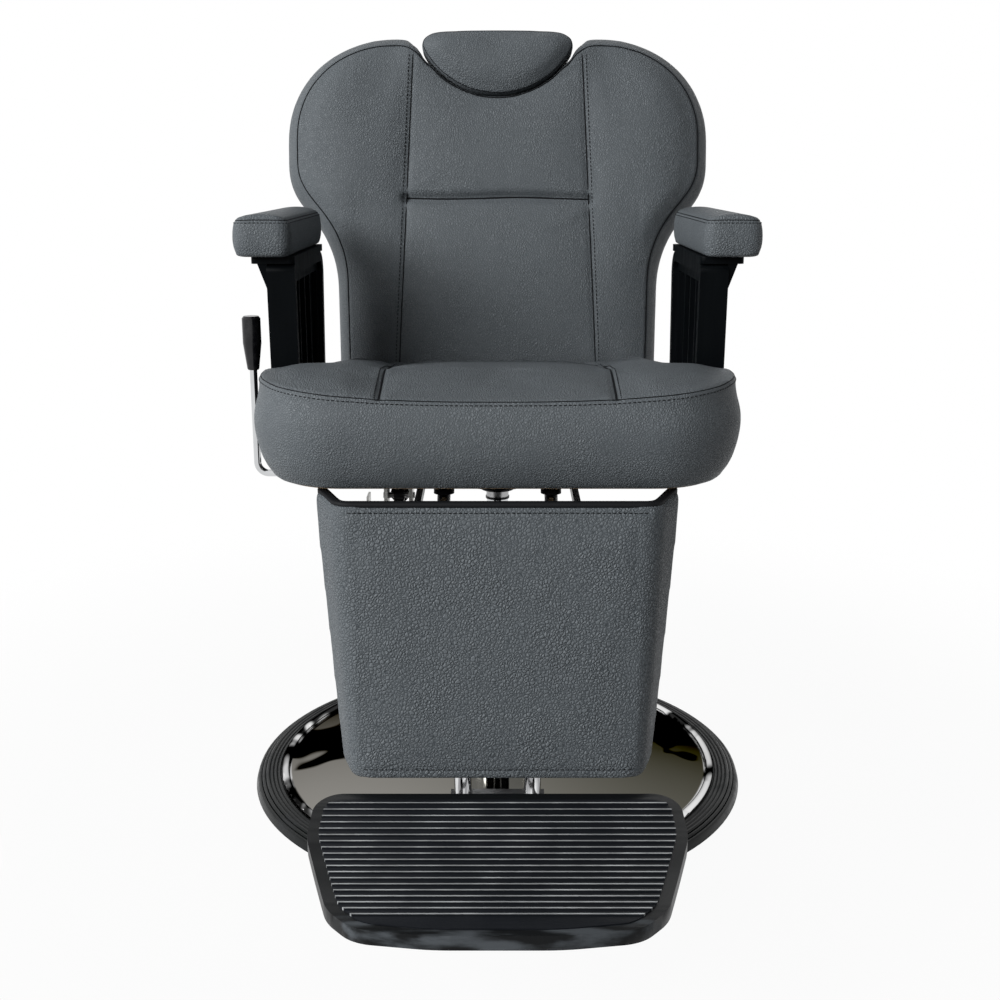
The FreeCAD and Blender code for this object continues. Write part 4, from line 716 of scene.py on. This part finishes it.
# The boxing's rings from the board up, as (height, inset from the cut edge).
seat_boxing = (
    (0.493, 0.031), (0.4936, 0.0265), (0.4958, 0.0210), (0.5005, 0.0160), (0.507, 0.0115),
    (0.516, 0.0070), (0.527, 0.0032), (0.540, 0.0002), (0.554, -0.0022), (0.568, -0.0024),
    (0.580, -0.0008), (0.592, 0.0035),
)
seat_rings = [level_ring(seat_corners, inset, z, 300) for z, inset in seat_boxing]
seat_edge = [Vector((p.x, p.y, seat_seam_z(p.x, p.y)))
             for p in evenly(panel(seat_corners, 0.0085), 300)]
seat_rings.append(seat_edge)
for share in crown_shares:
    ring = []
    for edge in seat_edge:
        flat = Vector((edge.x, edge.y, 0))
        point = seat_middle.lerp(flat, share)
        rise = crown((flat - point).length, 0.045, 2.2)
        top = max(seat_top_z(point.x, point.y), edge.z + 0.003)
        ring.append(Vector((point.x, point.y, edge.z + (top - edge.z) * rise)))
    seat_rings.append(ring)
seat_cover = skin("seat_cover", seat_rings, leather)

seat_channels = []
for side in (-1, 1):
    line = []
    for i in range(61):
        y = 0.135 - 0.425 * i / 60
        x = seat_channel(side, y)
        line.append(Vector((x, y, seat_top_z(x, y))))
    seat_channels.append(line)
seat_sewn = [p for line in seat_channels for p in evenly(line, 200, False)]
seat_lines = tree_of(evenly(seat_edge, 900) + seat_sewn)


def seat_held(point):
    """The cover is stapled under the board and held along its seams."""
    if point.z < 0.497:
        return 1.0
    return grip_at(seat_lines, point, 0.007)


plump(seat_cover, 0.006, 0.008, seat_held)
for line in seat_channels:
    draw_in(seat_cover, line, 0.0035, 0.005)
seat_front = [p for p in seat_edge if p.y < -0.155]
seat_front.sort(key=lambda p: math.atan2(p.x, -(p.y + 0.1)))
draw_in(seat_cover, seat_front, 0.0018, 0.0035)
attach(seat_cover, "seat")
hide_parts("seat_cushion")

seat_trim = [
    welt("seat_front_seam", traced(seat_front, seat_cover, 0.0001), 0.0007, thread),
    stitches("seat_front_stitches", laid(seat_front, seat_cover, 0.0003, stitch_gap), thread),
]
down = Vector((0, 0, -1))
for side, line, aside in zip(("left", "right"), seat_channels, (stitch_gap, -stitch_gap)):
    seam = traced(line, seat_cover, 0.0003, 0.0, down)
    seat_trim.append(welt("seat_channel_seam_" + side, seam, 0.0012, thread))
    sewn = laid(line, seat_cover, 0.0003, aside, down)
    seat_trim.append(stitches("seat_channel_stitches_" + side, sewn, thread))
for piece in seat_trim:
    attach(piece, "seat")


# Arm pads: foam blocks with a soft crowned top, sewn round the top edge and stapled to a
# board that is screwed to the arm's flange.
pad_corners = [(0.250, -0.164, 0.016), (0.323, -0.164, 0.016),
               (0.323, 0.148, 0.026), (0.250, 0.148, 0.026)]
pad_middle = Vector((0.2865, -0.008, 0))
pad_half = 0.0365
pad_seam_z = 0.799
pad_boxing = ((0.754, 0.0080), (0.7548, 0.0045), (0.758, 0.0010), (0.764, -0.0012),
              (0.775, -0.0020), (0.786, -0.0016), (0.794, -0.0004))
pad_rings = [level_ring(pad_corners, inset, z, 160) for z, inset in pad_boxing]
pad_edge = level_ring(pad_corners, 0.0035, pad_seam_z, 160)
pad_rings.append(pad_edge)
for share in (0.94, 0.86, 0.76, 0.64, 0.5, 0.35, 0.2, 0.06):
    ring = []
    for edge in pad_edge:
        flat = Vector((edge.x, edge.y, 0))
        point = Vector((pad_middle.x + (flat.x - pad_middle.x) * share,
                        pad_middle.y + (flat.y - pad_middle.y) * (1 - (1 - share) * 0.26), 0))
        across = 1 - ((point.x - pad_middle.x) / pad_half) ** 2
        rise = 0.009 * max(across, 0.0) ** 0.8
        ring.append(Vector((point.x, point.y, pad_seam_z + rise)))
    pad_rings.append(ring)
pad_lines = tree_of(evenly(pad_edge, 500))


def pad_held(point):
    """Both pads are held alike, so the left one is looked up as the right one."""
    if point.z < 0.7575:
        return 1.0
    return grip_at(pad_lines, Vector((abs(point.x), point.y, point.z)), 0.005)


for side, name in ((1, "right"), (-1, "left")):
    rings = [[Vector((side * p.x, p.y, p.z)) for p in ring] for ring in pad_rings]
    edge = [Vector((side * p.x, p.y, p.z)) for p in evenly(pad_edge, 320)]
    cover = skin("arm_pad_cover_" + name, rings, leather)
    plump(cover, 0.0045, 0.005, pad_held)
    draw_in(cover, edge + edge[:1], 0.0012, 0.003)
    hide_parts("arm_pad_" + name)
    seam = welt("arm_pad_seam_" + name, traced(edge, cover, 0.0001), 0.0006, thread, True)
    sewn = laid(edge + edge[:1], cover, 0.0003, 0.004 * side)
    stitched = stitches("arm_pad_stitches_" + name, sewn, thread, 0.0050, 0.0034, 0.00045)
    for piece in (cover, seam, stitched):
        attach(piece, "seat")


# Backrest: foam on a plywood board, wide above the arms and waisted between them, with a
# round notch for the headrest. Its front is sewn in panels and edged with a welt.
lean = Matrix.Translation((0, 0.156, 0.545)) @ Matrix.Rotation(math.radians(-10), 4, "X")
back_height = 0.511
back_thick = 0.0778
back_corners = mirrored([(0.239, 0, 0.022), (0.243, 0.205, 0.160),
                         (0.315, 0.295, 0.090), (0.315, back_height, 0.145)])
back_middle = Vector((0, 0.20, 0))
notch_h = 0.548
notch_centre = Vector((0, notch_h, 0))
notch_corner_h = 0.47


def back_walk(inset, notch):
    """Walks round the back inside its edge, with the headrest's notch cut out of the top."""
    walk = evenly(panel(back_corners, inset), 700)
    outside = [(p - notch_centre).length > notch for p in walk]
    first = next(i for i in range(len(walk)) if outside[i - 1] and not outside[i])
    last = next(i for i in range(len(walk)) if not outside[i - 1] and outside[i])
    start = walk[first - 1] - notch_centre
    end = walk[last] - notch_centre
    foot = Vector((0, -1, 0))
    arc = [start.slerp(foot, k / 40) for k in range(41)]
    arc += [foot.slerp(end, k / 40) for k in range(1, 41)]
    joined = walk[:first] + [notch_centre + p * notch for p in arc] + walk[last:]
    for _ in range(14):
        soft = []
        for i, p in enumerate(joined):
            near = abs(abs(p.x) - abs(start.x)) < 0.016 and p.y > notch_corner_h
            both = (joined[i - 1] + joined[(i + 1) % len(joined)]) / 2
            soft.append(p.lerp(both, 0.5) if near else p)
        joined = evenly(soft, 700)
    for p in joined:
        if p.y > notch_corner_h:
            shoulder = 0.005 * math.exp(-((abs(p.x) - 0.150) / 0.05) ** 2)
            p.y += shoulder - 0.008 * (1 - ease(abs(p.x), 0.115, 0.140))
    return evenly(joined, 380)


def back_place(flat, depth):
    """A place across and up the back, at a depth behind its front, with the back leaning."""
    return lean @ Vector((flat.x, depth, flat.y))


def back_front(x, h):
    """Depth of the front at a place: crowned from side to side, with fuller wings."""
    wing = math.exp(-((abs(x) - 0.245) / 0.06) ** 2) * ease(h, 0.12, 0.26)
    lumbar = math.exp(-((h - 0.12) / 0.11) ** 2)
    roll = math.exp(-((h - 0.298) / 0.022) ** 2) * (1 - ease(abs(x), 0.10, 0.14))
    return -0.008 + 0.010 * (x / 0.314) ** 2 - 0.014 * wing - 0.004 * lumbar - 0.004 * roll


def back_channel(side, h):
    """A channel's distance from the middle, with the channels closing to the top."""
    return side * (0.147 - 0.025 * h / back_height)


# The side wall's rings from the board forward, as (depth, inset from the cut edge). In
# the notch the wall reaches further forward.
back_wall = ((back_thick, 0.012), (0.0768, 0.0075), (0.073, 0.003), (0.066, 0.0008),
             (0.055, 0.0), (0.043, 0.0006), (0.032, 0.003), (0.022, 0.0075), (0.013, 0.0130))
back_rings = []
for depth, inset in back_wall:
    ring = []
    for p in back_walk(inset - 0.0025, 0.1258):
        near = 1 - ease((p - notch_centre).length, 0.127, 0.15)
        forward = back_thick - (back_thick - depth) * 1.22
        ring.append(back_place(p, depth * (1 - near) + near * forward))
    back_rings.append(ring)
back_edge = back_walk(0.0190, 0.1268)
back_edge_depth = []
for p in back_edge:
    near = 1 - ease((p - notch_centre).length, 0.127, 0.165)
    back_edge_depth.append(0.0045 - near * 0.0085)
back_welt = [back_place(p, d) for p, d in zip(back_edge, back_edge_depth)]
back_rings.append(back_welt)
for share in crown_shares:
    ring = []
    for edge, depth in zip(back_edge, back_edge_depth):
        point = back_middle.lerp(edge, share)
        rise = crown((edge - point).length, 0.05, 2.2)
        ring.append(back_place(point, depth + (back_front(point.x, point.y) - depth) * rise))
    back_rings.append(ring)
back_cover = skin("back_cover", back_rings, leather)

back_seams = []
for side in (-1, 1):
    line = []
    for i in range(91):
        h = 0.012 + 0.485 * i / 90
        x = back_channel(side, h)
        if (Vector((x, h, 0)) - notch_centre).length > 0.128:
            line.append(back_place(Vector((x, h, 0)), back_front(x, h)))
    back_seams.append(line)
cross_half = back_channel(1, 0.275)
back_cross = []
for i in range(61):
    x = (i / 30 - 1) * cross_half
    h = 0.2745 + 0.0012 * math.sin(31 * x + 0.6)
    back_cross.append(back_place(Vector((x, h, 0)), back_front(x, h)))
back_seams.append(back_cross)
back_sewn = [p for line in back_seams for p in evenly(line, 240, False)]
back_lines = tree_of(evenly(back_welt, 1200) + back_sewn)
lean_up = lean.inverted()


def back_held(point):
    """The cover is held at the board, in the notch and along its seams."""
    flat = lean_up @ point
    wall = (Vector((flat.x, flat.z, 0)) - notch_centre).length < 0.1285
    if flat.y > 0.072 or wall:
        return 1.0
    return grip_at(back_lines, point, 0.007)


plump(back_cover, 0.006, 0.008, back_held)
for line in back_seams[:2]:
    draw_in(back_cover, line, 0.0026, 0.005)
draw_in(back_cover, back_seams[2], 0.0085, 0.0065)
draw_in(back_cover, back_welt + back_welt[:1], 0.0014, 0.003)
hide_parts("back_cushion")

inward = (lean.to_3x3() @ Vector((0, 1, 0))).normalized()
edge_seam = traced(back_welt, back_cover, 0.0002)
back_trim = [back_cover, welt("back_edge_seam", edge_seam, 0.0010, thread, True)]
for line, name, aside in zip(back_seams, ("left", "right"), (-stitch_gap, stitch_gap)):
    seam = traced(line, back_cover, 0.0002, 0.0, inward)
    back_trim.append(welt("back_seam_" + name, seam, 0.0009, thread))
    sewn = laid(line, back_cover, 0.0003, aside, inward)
    back_trim.append(stitches("back_stitches_" + name, sewn, thread))
crease = traced(back_seams[2], back_cover, 0.0003, 0.0, inward)
back_trim.append(welt("back_cross_seam", crease, 0.0012, thread))
for piece in back_trim:
    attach(piece, "backrest")


# Rear panel of the back: leather over a hollow moulded shell, clipped over the board and
# the hinge arms, with a welt round its rear edge.
shell_rings = []
for share in (0.03, 0.25, 0.5, 0.75, 1.0):
    inner = [back_middle.lerp(p, share) for p in back_walk(0.022, 0.140)]
    shell_rings.append([back_place(p, 0.1005) for p in inner])

# The turned edge from the inside round to the rear, as (depth, inset, notch's radius).
shell_edge_form = ((0.0905, 0.022, 0.140), (0.0903, 0.0075, 0.1285), (0.0915, 0.0058, 0.128),
                   (0.0955, 0.0062, 0.128), (0.0985, 0.0085, 0.130), (0.1010, 0.013, 0.134))
for depth, inset, notch in shell_edge_form:
    shell_rings.append([back_place(p, depth) for p in back_walk(inset, notch)])
shell_edge = back_walk(0.0150, 0.136)
for share in (1.0, 0.985, 0.96, 0.92, 0.86, 0.75, 0.6, 0.4, 0.2, 0.03):
    ring = []
    for edge in shell_edge:
        point = back_middle.lerp(edge, share)
        rise = crown((edge - point).length, 0.06)
        ring.append(back_place(point, 0.1018 + 0.0020 * rise))
    shell_rings.append(ring)
shell_cover = skin("back_shell_cover", shell_rings, leather)
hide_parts("back_shell")
shell_line = [back_place(p, 0.1015) for p in back_walk(0.0140, 0.135)]
shell_cord = traced(shell_line, shell_cover, 0.0004)
shell_welt = welt("back_shell_welt", shell_cord, 0.0014, leather, True)
for piece in (shell_cover, shell_welt):
    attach(piece, "backrest")


# Headrest: a half-moon pad on two chromed posts that slide in the back's guide tubes.
# Its round underside follows the notch with a small gap.
def head_walk(inset):
    """Walks round the half-moon: its arc, a rounded corner, the top and the other corner."""
    radius = 0.1245 - inset
    tip = math.radians(63)
    tip_x, tip_h = radius * math.sin(tip), notch_h - radius * math.cos(tip)
    top_h, top_x = 0.5145 - inset, tip_x * 0.64
    walk = []
    for k in range(61):
        turn = -tip + 2 * tip * k / 60
        walk.append(Vector((radius * math.sin(turn), notch_h - radius * math.cos(turn), 0)))
    foot = Vector((tip_x, tip_h, 0))
    bend = Vector((tip_x + 0.002, top_h, 0))
    end = Vector((top_x, top_h, 0))
    corner = []
    for k in range(1, 13):
        t = k / 12
        corner.append(foot * (1 - t) ** 2 + bend * 2 * t * (1 - t) + end * t ** 2)
    walk += corner
    for k in range(1, 25):
        rise = 0.0015 * math.sin(math.pi * k / 24)
        walk.append(Vector((top_x - 2 * top_x * k / 24, top_h + rise, 0)))
    walk += [Vector((-p.x, p.y, 0)) for p in corner[-2::-1]]
    return evenly(walk, 240)


head_middle = Vector((0, 0.472, 0))
head_seam_depth = -0.0075
head_wall = ((0.0518, 0.008), (0.0505, 0.004), (0.046, 0.0012), (0.038, 0.0),
             (0.020, 0.0), (0.004, 0.0), (-0.003, 0.0004))
head_rings = []
for depth, inset in head_wall:
    head_rings.append([back_place(p, depth) for p in head_walk(inset)])
head_edge = head_walk(0.0016)
head_welt = [back_place(p, head_seam_depth) for p in head_edge]
head_rings.append(head_welt)
for share in (0.97, 0.93, 0.87, 0.8, 0.7, 0.58, 0.44, 0.3, 0.15, 0.04):
    ring = []
    for edge in head_edge:
        point = head_middle.lerp(edge, share)
        rise = crown((edge - point).length, 0.034)
        ring.append(back_place(point, head_seam_depth - 0.0145 * rise))
    head_rings.append(ring)
head_cover = skin("headrest_cover", head_rings, leather)
head_lines = tree_of(evenly(head_welt, 500))


def head_held(point):
    if (lean_up @ point).y > -0.002:
        return 1.0
    return grip_at(head_lines, point, 0.005)


plump(head_cover, 0.004, 0.004, head_held)
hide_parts("head_cushion")
head_seam = traced(head_welt, head_cover, 0.0001)
head_trim = welt("headrest_seam", head_seam, 0.0006, thread, True)
for piece in (head_cover, head_trim):
    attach(piece, "headrest")


# Leg rest: thin foam and leather drawn over bent plywood, with its two sides folded back.
# The cover is stitched along its top and bottom hems, and a strip of black lining closes its top;
# this dark strip also stands in for the shade under the seat.
leg_bottom_z, leg_top_z, leg_height = 0.153, 0.478, 0.325
leg_front_y = -0.297
leg_slope = math.tan(math.radians(7))
leg_half, leg_spread = 0.172, 0.017


def leg_walk(share, inset):
    """The leg rest's level section, at a share of its height, as a walk round its edge."""
    front = leg_half + leg_spread * share
    wing = 0.192 + 0.033 * share
    sweep = math.atan2(wing - front, 0.062)
    slope, corner = math.tan(sweep), math.tan(math.radians(45) - sweep / 2)
    inner = front - 0.016 * corner
    right = [(front, 0.0, 0.030), (front + 0.062 * slope, 0.062, 0.0074),
             (inner + 0.046 * slope, 0.062, 0.0074), (inner, 0.016, 0.014)]
    return evenly(panel(mirrored(right), inset), 420)


def leg_place(p, z):
    """A point of the level section, moved to the leg rest's slope."""
    return Vector((p.x, p.y + leg_front_y - (leg_top_z - z) * leg_slope, z))


def leg_ear(p):
    """The sides stand a little higher than the front."""
    return 0.006 * ease(p.y, 0.015, 0.060)


# Rings from the bottom hem up, as (height over the bottom, inset from the cut edge).
leg_wall = ((-0.0045, 0.0045), (-0.0038, 0.0016), (-0.001, 0.0), (0.003, -0.001),
            (0.05, -0.0015), (0.12, -0.0015), (0.20, -0.0015), (0.27, -0.0015),
            (0.319, -0.001), (0.323, 0.0), (0.3258, 0.0016), (0.3265, 0.0045))
leg_rings = []
for height, inset in leg_wall:
    ring = []
    for p in leg_walk(height / leg_height, inset):
        z = leg_bottom_z + height + leg_ear(p) * ease(height, 0.28, 0.32)
        ring.append(leg_place(p, z))
    leg_rings.append(ring)
leg_cover = skin("leg_rest_cover", leg_rings, coarse_leather)


def leg_line(z):
    """A level line across the front, for a hem's stitches."""
    half = leg_half + leg_spread * (z - leg_bottom_z) / leg_height - 0.012
    return [leg_place(Vector((half * (k / 40 - 1), 0, 0)), z) for k in range(81)]


leg_hems = [leg_line(0.4700), leg_line(0.1625)]
leg_lines = tree_of([p for line in leg_hems for p in line])


def leg_held(point):
    front = leg_front_y - (leg_top_z - point.z) * leg_slope
    behind = ease(point.y - front, 0.006, 0.012) if abs(point.x) < 0.165 else 1.0
    return max(behind, grip_at(leg_lines, point, 0.006))


plump(leg_cover, 0.005, 0.004, leg_held)
for line in leg_hems:
    draw_in(leg_cover, line, 0.0014, 0.0035)
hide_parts("leg_pad")
leg_trim = [leg_cover]
for line, name in zip(leg_hems, ("top", "bottom")):
    sewn = laid(line, leg_cover, 0.0004, 0.0, Vector((0, 1, 0)))
    leg_trim.append(stitches("leg_rest_stitches_" + name, sewn, thread, 0.0060, 0.0044))
# The black lining strip along the top is a dark sheet that also stands in for the seat's shade
# there.
shade_lining_rings = []
for height, inset in ((0.3215, 0.0030), (0.3265, 0.0028), (0.3283, 0.0036), (0.3290, 0.0056)):
    ring = [leg_place(p, leg_bottom_z + height + leg_ear(p)) for p in leg_walk(1.0, inset)]
    shade_lining_rings.append(ring)
leg_trim.append(skin("leg_rest_lining_painted_shade", shade_lining_rings, lining))
for piece in leg_trim:
    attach(piece, "leg_rest")


# Footrest: a dished plate with a turned lip, black enamelled, and a rubber tread with nineteen
# cross ribs whose crests are coloured pale. It hinges under the leg rest's tubes.
def tread_look(s):
    place = whereabouts(s)
    y = place.axis("Y")
    step = s.math("FRACT", (y + 0.6390) / 0.012)
    crest = 1 - abs(step - 0.5).between(0.04, 0.13)
    ribbed = y.between(-0.602, -0.600) * (1 - y.between(-0.377, -0.375))
    dust = spot(s, 26, 5, place).between(0.35, 0.75)
    pores = spot(s, 1400, 1, place)
    # This pale mask covers the rib crests, stronger where the dust pattern is high.
    worn = crest * ribbed * (0.5 + 0.5 * dust)
    return {
        "Base Color": worn.tint(rgb(0.005, 0.006, 0.008), rgb(0.52, 0.54, 0.55)),
        "Roughness": 0.46 + 0.25 * dust,
        "Normal": bump(s, pores, 0.0003, 0.5),
    }


def enamel_look(s):
    """Black enamel, scuffed along the front lip only."""
    place = whereabouts(s)
    drawn = place.scaled(0.25, 1.0, 1.0)
    y = place.axis("Y")
    scuff = spot(s, 60, 6, drawn).between(0.42, 0.68) * (1 - y.between(-0.606, -0.592))
    return {
        "Base Color": scuff.tint(rgb(0.003, 0.0035, 0.004), rgb(0.060, 0.067, 0.074)),
        "Roughness": 0.38 + 0.22 * scuff,
        "Normal": bump(s, spot(s, 900, 2, place), 0.0003, 0.4),
    }


tread = finish("tread_rubber", tread_look, Specular_IOR_Level=0.12)
enamel = finish("black_enamel", enamel_look, Specular_IOR_Level=0.12)
dress(tread, "foot_mat")
dress(enamel, "foot_plate")
break_edges(0.0025, "foot_plate")
break_edges(0.0007, "foot_mat")


# Studio: a pale floor that fades into a white surround, a large soft lamp in front, a
# smaller one at the left and one behind, which the chrome doesn't mirror. Metal sees the
# surround that the camera sees.
def light(name, place, aim, size, power):
    lamp = bpy.data.lights.new(name, "AREA")
    lamp.shape = "RECTANGLE"
    lamp.size, lamp.size_y = size
    lamp.energy = power
    made = bpy.data.objects.new(name, lamp)
    made.location = place
    made.rotation_euler = (Vector(aim) - Vector(place)).to_track_quat("-Z", "Y").to_euler()
    bpy.context.scene.collection.objects.link(made)
    return made


light("front_lamp", (-3.5, -5.5, 3.3), (0, -0.1, 0.5), (3.6, 3.0), 455)
light("side_lamp", (-5.0, -2.1, 2.6), (0, -0.1, 0.5), (2.2, 2.2), 270)
rear_lamp = light("rear_lamp", (1.6, 5.6, 1.5), (0, 0.1, 0.6), (3.0, 2.4), 210)
rear_lamp.visible_glossy = False

world = bpy.data.worlds.new("surround")
bpy.context.scene.world = world
world.use_nodes = True
world.node_tree.nodes.clear()
air = Shade(world.node_tree)


def backdrop(s):
    """1 where the camera looks, or looks by way of metal or glass, and 0 for other light."""
    rays = [s.node("LightPath", out="Is %s Ray" % kind)
            for kind in ("Camera", "Glossy", "Transmission")]
    return s.math("MAXIMUM", s.math("MAXIMUM", rays[0], rays[1]), rays[2])


seen = backdrop(air)
sky = air.node("Background", {}, {"Color": rgb(1, 1, 1), "Strength": 0.06 + 0.94 * seen})
sky.ends("OutputWorld")

bm = bmesh.new()
bmesh.ops.create_circle(bm, cap_ends=True, segments=96, radius=2.4)
floor_mesh = mesh_of(bm, "floor")
floor_paint = bpy.data.materials.new("pale_floor")
floor_paint.use_nodes = True
floor_paint.node_tree.nodes.clear()
s = Shade(floor_paint.node_tree)
away = s.node("VectorMath", {"operation": "LENGTH"}, {0: whereabouts(s)}, "Value")
fade = away.between(0.55, 1.5)
paint = s.node("BsdfDiffuse", {}, {"Color": rgb(0.4, 0.4, 0.4)})
white = s.node("Emission", {}, {"Color": rgb(1, 1, 1), "Strength": 1.0})
paint = s.node("MixShader", {}, {0: backdrop(s) * 0.95, 1: paint, 2: white})
clear = s.node("BsdfTransparent")
surface = s.node("MixShader", {}, {0: fade, 1: paint, 2: clear})
surface.ends("OutputMaterial")
floor = shown("floor", floor_mesh, floor_paint)
floor.location.z = -0.0005
